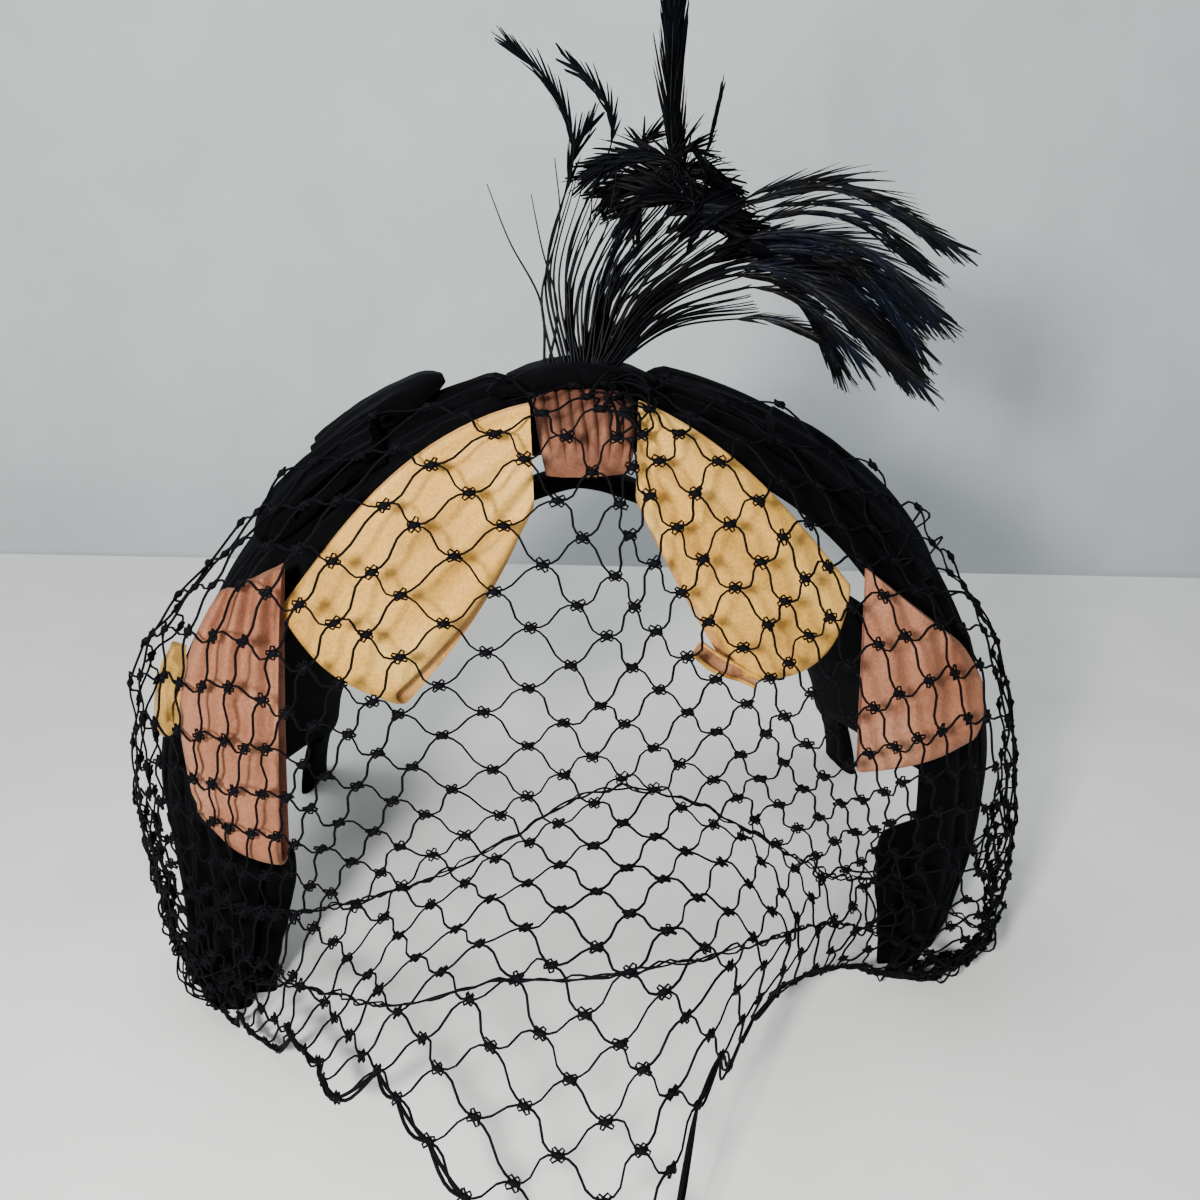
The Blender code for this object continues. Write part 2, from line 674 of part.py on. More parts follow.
def through(rows, share):
    """The values at a share along a table of rows, on a smooth curve through them."""
    k = 0
    while k < len(rows) - 2 and rows[k + 1][0] < share:
        k += 1
    here, there = rows[k], rows[k + 1]
    before, after = rows[max(k - 1, 0)], rows[min(k + 2, len(rows) - 1)]
    span = there[0] - here[0]
    t = (share - here[0]) / span
    found = []
    for a, b, c, d in zip(before[1:], here[1:], there[1:], after[1:]):
        leave = (c - a) / (there[0] - before[0]) * span
        arrive = (d - b) / (after[0] - here[0]) * span
        found.append(
            b * (2 * t**3 - 3 * t**2 + 1) + leave * (t**3 - 2 * t**2 + t)
            + c * (3 * t**2 - 2 * t**3) + arrive * (t**3 - t**2)
        )
    return found


def veil_point(along, down):
    """A point of the net: along it from the left foot to the right, and down from seam to hem."""
    rows = [(row[0], row[1], row[2], *[c for place in row[3:] for c in place]) for row in NET_SHAPE]
    across, lift, *places = through(rows, along)
    seam = band_point(mix(VEIL_SEAM_LOW, 1 - VEIL_SEAM_LOW, along), across, lift * MM)
    levels = [seam] + [at(*places[k:k + 3]) for k in range(0, len(places), 3)]
    lengths = [0.0]
    for a, b in zip(levels, levels[1:]):
        lengths.append(lengths[-1] + (b - a).length)
    return Vector(through([(long / lengths[-1], *point) for long, point in zip(lengths, levels)], down))


def veil_outward(along, down):
    """The way out of the net's surface at a point, away from the head."""
    step = 0.01
    run = veil_point(min(along + step, 1), down) - veil_point(max(along - step, 0), down)
    fall = veil_point(along, min(down + step, 1)) - veil_point(along, max(down - step, 0))
    out = run.cross(fall).normalized()
    return -out if out.dot(veil_point(along, down) - HEAD_MIDDLE) < 0 else out


def solids_below(names):
    """The named solids as one tree of faces that rays can be cast at."""
    points, faces = [], []
    for name in names:
        mesh = bpy.data.objects[name].data
        first = len(points)
        points += [v.co.copy() for v in mesh.vertices]
        faces += [tuple(first + v for v in face.vertices) for face in mesh.polygons]
    return BVHTree.FromPolygons(points, faces)


def clear_net(points, outward, strands, solids):
    """Lifts the net's knots until every strand passes clear of the solids below it."""
    for _ in range(NET_ROUNDS):
        lifts = [0.0] * len(points)
        for a, b in strands:
            for share in NET_SAMPLES:
                spot = mix(points[a], points[b], share)
                out = mix(outward[a], outward[b], share).normalized()
                far = solids.ray_cast(spot + out * NET_PROBE, -out, NET_PROBE + NET_CLEAR)[3]
                if far is not None:
                    need = NET_PROBE + NET_CLEAR - far
                    lifts[a] = max(lifts[a], need * min(1.0, 2 - 2 * share))
                    lifts[b] = max(lifts[b], need * min(1.0, 2 * share))
        for k, lift in enumerate(lifts):
            points[k] = points[k] + outward[k] * lift


def veil(finish, hat):
    """The birdcage net: a lattice of diamonds, turned into strands by a wireframe."""
    wide, tall = 2 * NET_COLUMNS, 2 * NET_ROWS
    corner = {}
    for i in range(wide + 1):
        for j in range(tall + 1):
            if (i + j) % 2 == 0 and not (i in (0, wide) and j in (0, tall)):
                corner[i, j] = len(corner)
    points = [veil_point(i / wide, j / tall) for i, j in corner]
    outward = [veil_outward(i / wide, j / tall) for i, j in corner]
    faces = [
        [corner[i - 1, j], corner[i, j - 1], corner[i + 1, j], corner[i, j + 1]]
        for i in range(1, wide) for j in range(1, tall) if (i + j) % 2 == 1
    ]
    strands = sorted({tuple(sorted(pair)) for face in faces for pair in zip(face, face[1:] + face[:1])})
    clear_net(points, outward, strands, solids_below(VEIL_COVERS))
    mesh = bpy.data.meshes.new("veil")
    mesh.from_pydata([tuple(p) for p in points], [], faces)
    mesh.materials.append(finish)
    made = bpy.data.objects.new("veil", mesh)
    bpy.context.scene.collection.objects.link(made)
    made.parent = hat
    net = made.modifiers.new("strands", "WIREFRAME")
    net.thickness = NET_STRAND
    net.use_boundary = True
    net.use_even_offset = True
    net.use_replace = True
    return made


def main():
    """Empties the scene and builds the hat."""
    for old in list(bpy.data.objects):
        bpy.data.objects.remove(old)
    hat = bpy.data.objects.new("hat", None)
    bpy.context.scene.collection.objects.link(hat)
    hat.location = -FOOTPRINT_MIDDLE
    finishes = {
        "black_velvet": material("black_velvet", BLACK, 0.9, 0.6),
        "gold_velvet": material("gold_velvet", GOLD, 0.75, 0.5),
        "pink_velvet": material("pink_velvet", PINK, 0.75, 0.5),
        "feather": material("feather", INK_BLUE, 0.35),
        "net": material("net", BLACK, 0.6),
    }
    front_band(finishes["black_velvet"], hat)
    back_band(finishes["black_velvet"], hat)
    centre_knot(finishes["pink_velvet"], hat)
    ribbon_loops(finishes, hat)
    band_loops(finishes, hat)
    end_tabs(finishes["black_velvet"], hat)
    plume(finishes["feather"], hat)
    veil(finishes["net"], hat)


main()
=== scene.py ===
"""Looks of the half hat: velvet, ribbon loops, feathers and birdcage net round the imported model."""

import json
import random
from bisect import bisect_right
from itertools import accumulate
from math import asin, copysign, cos, dist, hypot, pi, radians, sin, sqrt, tau

import bmesh
import bpy
from mathutils import Euler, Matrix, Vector, noise
from mathutils.bvhtree import BVHTree

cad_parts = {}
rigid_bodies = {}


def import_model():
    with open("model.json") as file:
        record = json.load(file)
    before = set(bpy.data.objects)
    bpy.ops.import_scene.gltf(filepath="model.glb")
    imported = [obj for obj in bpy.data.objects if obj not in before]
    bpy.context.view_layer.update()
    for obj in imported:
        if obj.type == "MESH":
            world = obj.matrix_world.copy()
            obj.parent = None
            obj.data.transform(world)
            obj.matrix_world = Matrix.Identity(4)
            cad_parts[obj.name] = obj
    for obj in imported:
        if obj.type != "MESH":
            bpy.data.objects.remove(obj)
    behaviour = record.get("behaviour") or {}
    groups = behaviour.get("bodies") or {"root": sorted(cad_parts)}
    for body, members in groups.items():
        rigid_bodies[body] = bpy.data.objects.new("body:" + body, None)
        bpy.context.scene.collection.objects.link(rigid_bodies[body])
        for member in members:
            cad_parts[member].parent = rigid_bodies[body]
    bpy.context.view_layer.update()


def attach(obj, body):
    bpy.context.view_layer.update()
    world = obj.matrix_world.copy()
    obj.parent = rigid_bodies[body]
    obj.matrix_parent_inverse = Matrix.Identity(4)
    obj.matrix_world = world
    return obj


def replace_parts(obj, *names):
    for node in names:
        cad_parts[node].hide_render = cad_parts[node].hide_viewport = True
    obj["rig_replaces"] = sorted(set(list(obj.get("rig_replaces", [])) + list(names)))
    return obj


MM = 0.001
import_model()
FOOTPRINT_MIDDLE = Vector((-0.5, 14.5, 0.0)) * MM

# The solids' own shapes, as in the part's source
BAND_HALF_WIDTH = 103 * MM
BAND_HEIGHT = 149 * MM
BAND_SPRING = 45 * MM
BAND_POWER = 1.8
BAND_TUCK_LEFT = -1 * MM
BAND_TUCK_RIGHT = 9 * MM
BAND_DEPTH = 40 * MM
BAND_WALL = 3 * MM
BAND_FACE_TURN = radians(115)
BAND_FACE_POWER = 0.75
BAND_PINCH = 3.0 * MM
BAND_PINCH_HALF = 12 * MM
BAND_FOLDS = 5
BAND_FOLD_HEIGHT = 2 * MM
SWELL_FOOT = 20 * MM
SWELL_LEG = 25 * MM
SWELL_APEX = 8 * MM
SLOPE_STEP = 0.04
BACK_HALF_WIDTH = 85 * MM
BACK_MIDDLE = 3 * MM
BACK_HEIGHT = 100 * MM
BACK_POWER = 1.6
BACK_REAR = 118 * MM
BACK_STRIP = 10 * MM
BACK_FOOT_DEPTH = 17 * MM
BACK_THICK = 5 * MM
BACK_END_THICK = 2.5 * MM
BACK_END_HEIGHT = 17 * MM
BACK_SLANT = 0.6
PANEL_LOW = 34 * MM
PANEL_HIGH = 60 * MM
PANEL_FADE_LOW = 14 * MM
PANEL_FADE_HIGH = 38 * MM
GAP = 0.3 * MM
KNOT_HALF = 10.5 * MM
KNOT_MIDDLE = 0.496
KNOT_CLEAR = 0.7 * MM


def run_lengths(points):
    """The length along points up to each of them."""
    return [0.0, *accumulate(dist(a, b) for a, b in zip(points, points[1:]))]


def mix(a, b, share):
    """The value or point at a share of the way from a to b."""
    return a + (b - a) * share


def ease(share):
    """A share from 0 to 1, with a smooth start and end."""
    share = min(max(share, 0.0), 1.0)
    return share * share * (3 - 2 * share)


def wobble(a, b, c=0.0):
    """Smooth noise from about -1 to 1."""
    return noise.noise(Vector((a, b, c)))


def at(x, y, z):
    """A layout point, given in millimetres."""
    return Vector((x, y, z)) * MM


def arch_side(height_share, power):
    """How wide a superellipse is, as a share, at a share of its height."""
    return max(0.0, 1 - height_share**power) ** (1 / power)


def outline_side(foot_tuck, count=400):
    """Points (x, z, outward x, outward z, height share) up the right half of the band's outline."""
    rise = BAND_HEIGHT - BAND_SPRING
    side = []
    for k in range(count + 1):
        z = BAND_SPRING * k / count
        tuck = foot_tuck * (1 - z / BAND_SPRING) ** 2
        side.append((BAND_HALF_WIDTH - tuck, z, 1.0, 0.0, z / BAND_HEIGHT))
    for k in range(1, count + 1):
        turn = pi / 2 * k / count
        x = BAND_HALF_WIDTH * cos(turn) ** (2 / BAND_POWER) if k < count else 0.0
        z = rise * sin(turn) ** (2 / BAND_POWER)
        out_x = (x / BAND_HALF_WIDTH) ** (BAND_POWER - 1) / BAND_HALF_WIDTH
        out_z = (z / rise) ** (BAND_POWER - 1) / rise
        long = hypot(out_x, out_z)
        z += BAND_SPRING
        side.append((x, z, out_x / long, out_z / long, z / BAND_HEIGHT))
    return side


def band_outline():
    """The band's whole outer outline, from the left foot over the top to the right foot."""
    left = [(-x, z, -ox, oz, h) for x, z, ox, oz, h in outline_side(BAND_TUCK_LEFT)]
    return left + outline_side(BAND_TUCK_RIGHT)[-2::-1]


OUTLINE = band_outline()
LENGTHS = run_lengths([row[:2] for row in OUTLINE])


def outline_at(along):
    """The outline's row of values at a share of its length, 0 at the left foot, 1 at the right."""
    wanted = min(max(along, 0.0), 1.0) * LENGTHS[-1]
    high = bisect_right(LENGTHS, wanted, 1, len(LENGTHS) - 1)
    low = high - 1
    share = (wanted - LENGTHS[low]) / (LENGTHS[high] - LENGTHS[low])
    return [mix(a, b, share) for a, b in zip(OUTLINE[low], OUTLINE[high])]


def swell_at(height):
    """How far the band's face swells outward, by height share."""
    foot = BAND_SPRING / BAND_HEIGHT
    if height < foot:
        return mix(SWELL_FOOT, SWELL_LEG, ease(height / foot))
    return mix(SWELL_LEG, SWELL_APEX, ease((height - foot) / (1 - foot)))


def face_rise(swell, across):
    """How far the band's face has risen outward, at a share of its depth."""
    turned = sin(BAND_FACE_TURN * abs(across))
    return copysign(swell * turned**BAND_FACE_POWER, across)


def pinch_at(along):
    """How far the band is drawn in under the centre knot."""
    off = abs(along - KNOT_MIDDLE) * LENGTHS[-1]
    return BAND_PINCH * (1 - ease((off - BAND_PINCH_HALF) / (BAND_PINCH_HALF * 0.7)))


def band_point(along, across, lift=0.0):
    """A point over the band: along it foot to foot, across it front to back, and above its face."""
    x, z, out_x, out_z, height = outline_at(along)
    swell = swell_at(height)
    deep = BAND_DEPTH * across
    raised = face_rise(swell, across)
    slope_y = 2 * SLOPE_STEP * BAND_DEPTH
    slope_r = face_rise(swell, across + SLOPE_STEP) - face_rise(swell, across - SLOPE_STEP)
    long = hypot(slope_y, slope_r)
    lift -= pinch_at(along)
    deep -= lift * slope_r / long
    raised += lift * slope_y / long
    inward = swell - raised
    return Vector((x - out_x * inward, deep, z - out_z * inward))


def fold_lift(along, across):
    """Height of the gathers, which run along the band and wander a little."""
    wander = 0.05 * sin(9.0 * along + 2.0 * across) * sin(pi * across)
    wave = abs(sin(pi * BAND_FOLDS * (across + wander)))
    ease_in = 0.65 + 0.35 * sin(23.0 * along + 7.0 * across)
    return BAND_FOLD_HEIGHT * wave * ease_in * (1 - pinch_at(along) / BAND_PINCH)


def through(rows, share):
    """The values at a share along a table of rows, on a smooth curve through them."""
    k = 0
    while k < len(rows) - 2 and rows[k + 1][0] < share:
        k += 1
    here, there = rows[k], rows[k + 1]
    before, after = rows[max(k - 1, 0)], rows[min(k + 2, len(rows) - 1)]
    span = there[0] - here[0]
    t = (share - here[0]) / span
    found = []
    for a, b, c, d in zip(before[1:], here[1:], there[1:], after[1:]):
        leave = (c - a) / (there[0] - before[0]) * span
        arrive = (d - b) / (after[0] - here[0]) * span
        found.append(
            b * (2 * t**3 - 3 * t**2 + 1) + leave * (t**3 - 2 * t**2 + t)
            + c * (3 * t**2 - 2 * t**3) + arrive * (t**3 - t**2)
        )
    return found


# Making meshes


def wall(outer, inner, closed=False):
    """A wall between two grids of points of one size; closed rows make a tube with open ends."""
    rows, width = len(outer), len(outer[0])
    points = [p for grid in (outer, inner) for row in grid for p in row]
    back = rows * width
    spans = width if closed else width - 1
    faces = []
    for j in range(rows - 1):
        for i in range(spans):
            a, b = j * width + i, j * width + (i + 1) % width
            faces.append((a, b, b + width, a + width))
            faces.append((back + a, back + a + width, back + b + width, back + b))
        for i in () if closed else (0, width - 1):
            a = j * width + i
            faces.append((a, a + width, back + a + width, back + a))
    for j in (0, rows - 1):
        for i in range(spans):
            a, b = j * width + i, j * width + (i + 1) % width
            faces.append((a, back + a, back + b, b))
    return points, faces


def arc(middle, across, other, half, turns):
    """Points round a middle at given angles, in the plane of two directions."""
    return [middle + (across * cos(t) + other * sin(t)) * half for t in turns]


def circle(middle, across, other, half, sides):
    """Points evenly round a middle, in the plane of two directions."""
    return arc(middle, across, other, half, [tau * i / sides for i in range(sides)])


def stand(*rows):
    """Sets rows of points down on the floor."""
    for row in rows:
        for point in row:
            point.z = 0.0


def solid_sweep(rings):
    """A solid through rings of the same number of points, closed by a face at each end."""
    width = len(rings[0])
    points = [p for ring in rings for p in ring]
    faces = [tuple(range(width)), tuple(range((len(rings) - 1) * width, len(rings) * width))]
    for j in range(len(rings) - 1):
        for i in range(width):
            a, b = j * width + i, j * width + (i + 1) % width
            faces.append((a, b, b + width, a + width))
    return points, faces


def add_piece(name, points, faces, finish, slot, node=None, sharp=50):
    """A visible piece in layout coordinates, moved to the frame, riding on the part's one body."""
    mesh = bpy.data.meshes.new(name)
    mesh.from_pydata([tuple(p - FOOTPRINT_MIDDLE) for p in points], [], faces)
    shaped = bmesh.new()
    shaped.from_mesh(mesh)
    bmesh.ops.recalc_face_normals(shaped, faces=shaped.faces)
    shaped.to_mesh(mesh)
    shaped.free()
    mesh.shade_smooth()
    if sharp:
        mesh.set_sharp_from_angle(angle=radians(sharp))
    mesh.materials.append(finish)
    made = bpy.data.objects.new(name, mesh)
    bpy.context.scene.collection.objects.link(made)
    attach(made, "root")
    if node:
        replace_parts(made, node)
    return made


# Materials


def shader_of(name, **values):
    """A new material, its tree, its Principled shader and its object coordinates in millimetres."""
    made = bpy.data.materials.new(name)
    made.use_nodes = True
    tree = made.node_tree
    shader = tree.nodes["Principled BSDF"]
    for key, value in values.items():
        shader.inputs[key.replace("_", " ").title().replace("Ior", "IOR")].default_value = value
    place = tree.nodes.new("ShaderNodeTexCoord")
    scale = tree.nodes.new("ShaderNodeMapping")
    scale.inputs["Scale"].default_value = (1000, 1000, 1000)
    tree.links.new(place.outputs["Object"], scale.inputs["Vector"])
    return made, tree, shader, scale.outputs["Vector"]


def noise_node(tree, place, scale, detail, rough=0.55):
    """A noise texture whose scale is in waves per millimetre."""
    made = tree.nodes.new("ShaderNodeTexNoise")
    made.inputs["Scale"].default_value = scale
    made.inputs["Detail"].default_value = detail
    made.inputs["Roughness"].default_value = rough
    tree.links.new(place, made.inputs["Vector"])
    return made.outputs["Fac"]


def ramp_node(tree, value, stops):
    """A colour ramp through (position, colour) stops."""
    made = tree.nodes.new("ShaderNodeValToRGB")
    made.color_ramp.interpolation = "EASE"
    while len(made.color_ramp.elements) < len(stops):
        made.color_ramp.elements.new(0.5)
    for element, (position, colour) in zip(made.color_ramp.elements, stops):
        element.position = position
        element.color = (*colour, 1)
    tree.links.new(value, made.inputs["Fac"])
    return made.outputs["Color"]


def shade_node(tree, share, colour, shade):
    """A colour multiplied by a shade, by a share."""
    made = tree.nodes.new("ShaderNodeMix")
    made.data_type = "RGBA"
    made.blend_type = "MULTIPLY"
    made.inputs["Factor"].default_value = share
    tree.links.new(colour, made.inputs[6])
    tree.links.new(shade, made.inputs[7])
    return made.outputs[2]


def bump_node(tree, shader, heights):
    """Bumps stacked on the shader: (height output, strength, depth in metres)."""
    last = None
    for height, strength, depth in heights:
        made = tree.nodes.new("ShaderNodeBump")
        made.inputs["Strength"].default_value = strength
        made.inputs["Distance"].default_value = depth
        tree.links.new(height, made.inputs["Height"])
        if last:
            tree.links.new(last, made.inputs["Normal"])
        last = made.outputs["Normal"]
    tree.links.new(last, shader.inputs["Normal"])


SHEEN_ROUGHNESS = 0.4
PILE_GRAIN = 1.5
PILE_SHADE = 0.66


def velvet(name, deep, body, pale, roughness, sheen, tint, crush=0.12, shine=0.2):
    """Ribbon or cloth with a short pile: crushed patches, fine grain and a soft sheen."""
    made, tree, shader, place = shader_of(
        name, roughness=roughness, sheen_weight=sheen, sheen_roughness=SHEEN_ROUGHNESS
    )
    shader.inputs["Sheen Tint"].default_value = (*tint, 1)
    shader.inputs["Specular IOR Level"].default_value = shine
    patches = noise_node(tree, place, crush, 4.0, 0.6)
    grain = noise_node(tree, place, PILE_GRAIN, 4.0, 0.75)
    soft = ramp_node(tree, patches, [(0.32, deep), (0.5, body), (0.68, pale)])
    fine = ramp_node(tree, grain, [(0.36, (PILE_SHADE,) * 3), (0.66, (1, 1, 1))])
    tree.links.new(shade_node(tree, 0.9, soft, fine), shader.inputs["Base Color"])
    bump_node(tree, shader, [(patches, 0.08, 0.5 * MM), (grain, 0.5, 0.12 * MM)])
    return made


def thread(name, colour, roughness):
    """Nylon net thread with a faint twist."""
    made, tree, shader, place = shader_of(name, roughness=roughness)
    shader.inputs["Specular IOR Level"].default_value = 0.06
    twist = noise_node(tree, place, 3.0, 2.0)
    pale = tuple(c * 2 + 0.001 for c in colour)
    mottled = ramp_node(tree, twist, [(0.4, colour), (0.75, pale)])
    tree.links.new(mottled, shader.inputs["Base Color"])
    bump_node(tree, shader, [(twist, 0.4, 0.1 * MM)])
    return made


BARB_BLACK = (0.0010, 0.0010, 0.0014)


def feather_finish(name, painted_sheen_colour, shine):
    """Black barbs, their colour patched with a painted bluish sheen, with a faint specular shine."""
    made, tree, shader, place = shader_of(name, roughness=0.42)
    shader.inputs["Specular IOR Level"].default_value = shine
    # Painted sheen: patches of bluish colour in the black stand in for the feathers' sheen.
    painted_sheen_mask = noise_node(tree, place, 0.10, 3.0)
    black = ramp_node(tree, painted_sheen_mask, [(0.42, BARB_BLACK), (0.62, painted_sheen_colour)])
    tree.links.new(black, shader.inputs["Base Color"])
    bump_node(tree, shader, [(noise_node(tree, place, 1.5, 2.0), 0.3, 0.1 * MM)])
    return made


def plain_stage(name, colour):
    """A plain matte surface for the floor and the backdrop, with a hint of cloth grain."""
    made, tree, shader, place = shader_of(name, roughness=0.85)
    shader.inputs["Specular IOR Level"].default_value = 0.15
    grain = noise_node(tree, place, 0.02, 4.0)
    dim = tuple(c * 0.93 for c in colour)
    cloth = ramp_node(tree, grain, [(0.3, dim), (0.7, colour)])
    tree.links.new(cloth, shader.inputs["Base Color"])
    return made


BLACK_VELVET = velvet(
    "velvet_black", (0.0005, 0.0005, 0.0008), (0.0009, 0.0009, 0.0013), (0.0016, 0.0016, 0.0024),
    0.90, 0.012, (0.45, 0.50, 0.70), 0.16, 0.05,
)
GOLD_VELVET = velvet(
    "velvet_gold", (0.45, 0.225, 0.034), (0.57, 0.298, 0.050), (0.65, 0.38, 0.088),
    0.62, 0.05, (1.0, 0.90, 0.66), 0.04, 0.22,
)
PINK_VELVET = velvet(
    "velvet_pink", (0.215, 0.080, 0.041), (0.285, 0.113, 0.060), (0.345, 0.155, 0.090),
    0.70, 0.04, (1.0, 0.82, 0.72), 0.05, 0.15,
)
# Painted shade: the knot's velvet is a darker copy of the pink velvet, standing in for the shade
# between its pleats.
KNOT_VELVET_PAINTED_SHADE = velvet(
    "velvet_pink_knot_painted_shade", (0.120, 0.044, 0.025), (0.175, 0.068, 0.038), (0.230, 0.098, 0.058),
    0.72, 0.03, (1.0, 0.82, 0.72), 0.10, 0.15,
)
GOLD_BACK = velvet(
    "ribbon_back_gold", (0.40, 0.180, 0.045), (0.48, 0.235, 0.065), (0.56, 0.31, 0.10),
    0.6, 0.1, (1.0, 0.88, 0.7), 0.08,
)
HEM_BACK = velvet(
    "ribbon_back_tan", (0.24, 0.100, 0.045), (0.31, 0.140, 0.065), (0.38, 0.19, 0.095),
    0.7, 0.1, (1.0, 0.85, 0.7), 0.6,
)
# The pink loops' underside is much darker than the pink velvet. It is partly the ribbon's own woven
# back and partly painted shade inside the loops.
PINK_BACK_AND_PAINTED_SHADE = velvet(
    "ribbon_back_pink_and_painted_shade", (0.10, 0.030, 0.020), (0.16, 0.052, 0.035), (0.22, 0.08, 0.055),
    0.8, 0.1, (1.0, 0.8, 0.75), 0.08,
)
# The gloss finish paints a bluer sheen and has more specular shine than the plain one.
FEATHER = feather_finish("feather_black", (0.0012, 0.0015, 0.0030), 0.07)
FEATHER_GLOSS = feather_finish("feather_gloss", (0.0016, 0.0030, 0.0085), 0.22)
NET = thread("net_thread", (0.0008, 0.0008, 0.0016), 0.7)


# Front arch and back arch


RIM_WIDTH = 0.035
RIM_DROP = 1.1 * MM
CREASES = 17
PUCKERS = 40
FRONT_STATIONS = 200
FRONT_STEPS = 66
BACK_STATIONS = 150
BACK_COLUMNS = 17
BACK_CREASE = 0.35 * MM
BACK_ROUND = 0.8 * MM
FOOT_STEP = 0.006


def round_off(share):
    """The height of a quarter circle at a share along it, 0 to 1."""
    return sqrt(max(0.0, 1 - (1 - share) ** 2))


def rim_drop(across):
    """How far a wall's face falls at its two long edges, to round them."""
    edge = min(across, 1 - across) / RIM_WIDTH
    return 0.0 if edge >= 1 else RIM_DROP * (1 - round_off(edge))


def gather_lift(along, across):
    """The main folds with fine creases along them and puckers where the cloth is drawn in."""
    broad = fold_lift(along, across)
    line = across + 0.012 * wobble(26 * along, 3 * across) + 0.02 * wobble(7 * along, 2 * across, 4)
    fine = abs(sin(pi * CREASES * line))
    fine *= 0.30 + 0.25 * wobble(16 * along, 9 * across, 2)
    drawn = ease(1 - min(along, 1 - along) / 0.07)
    drawn += ease(1 - (abs(along - KNOT_MIDDLE) - 0.03) / 0.06)
    pucker = drawn * 0.35 * sin(PUCKERS * across + 5 * wobble(10 * along, 2 * across, 7))
    loose = 0.5 * wobble(14 * along, 5 * across, 11)
    calm = 1 - pinch_at(along) / BAND_PINCH
    return broad + (fine + pucker + loose) * MM * calm


def front_band():
    """The gathered velvet arch, standing on its two flat ends."""
    outer, inner = [], []
    shares = [i / FRONT_STEPS for i in range(FRONT_STEPS + 1)]
    for j in range(FRONT_STATIONS + 1):
        along = j / FRONT_STATIONS
        outer.append([band_point(along, u, gather_lift(along, u) - rim_drop(u)) for u in shares])
        inner.append([band_point(along, u, -BAND_WALL + rim_drop(u) * 0.8) for u in shares])
    stand(outer[0], inner[0], outer[-1], inner[-1])
    add_piece("arch_front", *wall(outer, inner), BLACK_VELVET, "black_velvet", "front_band")


def turning_point(before, low, high, rounds):
    """Where a test turns from true to false between two values, by halving."""
    for _ in range(rounds):
        middle = (low + high) / 2
        if before(middle):
            low = middle
        else:
            high = middle
    return high


def band_rear(height):
    """The middle of the band's rear edge at a height, on the right side."""
    def rear(along):
        return band_point(along, 1.0, -BAND_WALL / 2)

    return rear(turning_point(lambda along: rear(along).z > height, 0.5, 1.0, 26))


def panel_reach(height):
    """How far the back arch reaches forward to the front arch, 0 to 1, by height."""
    if height < PANEL_LOW:
        return ease((height - PANEL_LOW + PANEL_FADE_LOW) / PANEL_FADE_LOW)
    if height > PANEL_HIGH:
        return 1 - ease((height - PANEL_HIGH) / PANEL_FADE_HIGH)
    return 1.0


def back_section(turn):
    """Front and rear points of the back strip's middle, and its thickness, at an angle."""
    share = sin(turn) ** (2 / BACK_POWER)
    height = BACK_HEIGHT * share
    side = copysign(1.0, cos(turn))
    half = BACK_HALF_WIDTH * arch_side(share, BACK_POWER)
    rear = Vector((BACK_MIDDLE + side * half, BACK_REAR, height))
    depth = mix(BACK_FOOT_DEPTH, BACK_STRIP, ease(height / BACK_HEIGHT))
    plain = rear + Vector((side * BACK_SLANT * (depth - BACK_STRIP), -depth, 0))
    joined = band_rear(height)
    joined = Vector((side * joined.x, joined.y + GAP * 1.6, height))
    front = mix(plain, joined, panel_reach(height))
    step = ease((height - BACK_END_HEIGHT) / (1.5 * MM))
    thick = mix(BACK_END_THICK, BACK_THICK, step)
    return front, rear, mix(thick, BAND_WALL * 0.8, panel_reach(height) * 0.6)


def back_band():
    """The thin arch with its side panels, softly creased."""
    end = asin(((BACK_END_HEIGHT + 0.75 * MM) / BACK_HEIGHT) ** (BACK_POWER / 2))
    turns = [pi * k / BACK_STATIONS for k in range(BACK_STATIONS + 1)]
    turns += [foot + step for foot in (end, pi - end) for step in (-FOOT_STEP, FOOT_STEP)]
    turns.sort(reverse=True)
    sections = [back_section(min(max(turn, 0.0), pi)) for turn in turns]
    outer, inner = [], []
    for k, (front, rear, thick) in enumerate(sections):
        before, after = sections[max(k - 1, 0)], sections[min(k + 1, len(sections) - 1)]
        up = (after[0] + after[1] - before[0] - before[1]).normalized()
        out = up.cross(front - rear).normalized()
        if k in (0, len(sections) - 1):
            out = Vector((out.x, out.y, 0)).normalized()
        if out.dot(Vector((front.x, 0, front.z))) < 0:
            out = -out
        rows = ([], [])
        for i in range(BACK_COLUMNS):
            share = i / (BACK_COLUMNS - 1)
            spot = mix(front, rear, share)
            bulge = sin(pi * share)
            crease = BACK_CREASE * wobble(turns[k] * 9, share * 3) * bulge
            half = thick / 2 + BACK_ROUND * bulge
            half *= 0.45 + 0.55 * min(1, 12 * min(share, 1 - share))
            rows[0].append(spot + out * (half + crease))
            rows[1].append(spot - out * (half - crease))
        outer.append(rows[0])
        inner.append(rows[1])
    stand(outer[0], inner[0], outer[-1], inner[-1])
    add_piece("arch_back", *wall(outer, inner), BLACK_VELVET, "black_velvet", "back_band")


# Camera, light and floor


CAMERA_YAW = radians(-4.0)
CAMERA_PITCH = radians(21.7)
CAMERA_SPOT = Vector((1.7, -240.0, 0.0)) * MM
CAMERA_HEIGHT = 200 * MM
FILM = 36
FOCUS_SHARE = 1203 / 1200
TABLE_LEFT = 0.555
TABLE_RIGHT = 0.035
TABLE_HALF = 2
TABLE_COLOUR = (0.74, 0.74, 0.72)
CLOTH = 0.42
CLOTH_HALF = 3
CLOTH_LOW = -1.5
CLOTH_HIGH = 2.5
CLOTH_COLOUR = (0.72, 0.76, 0.76)
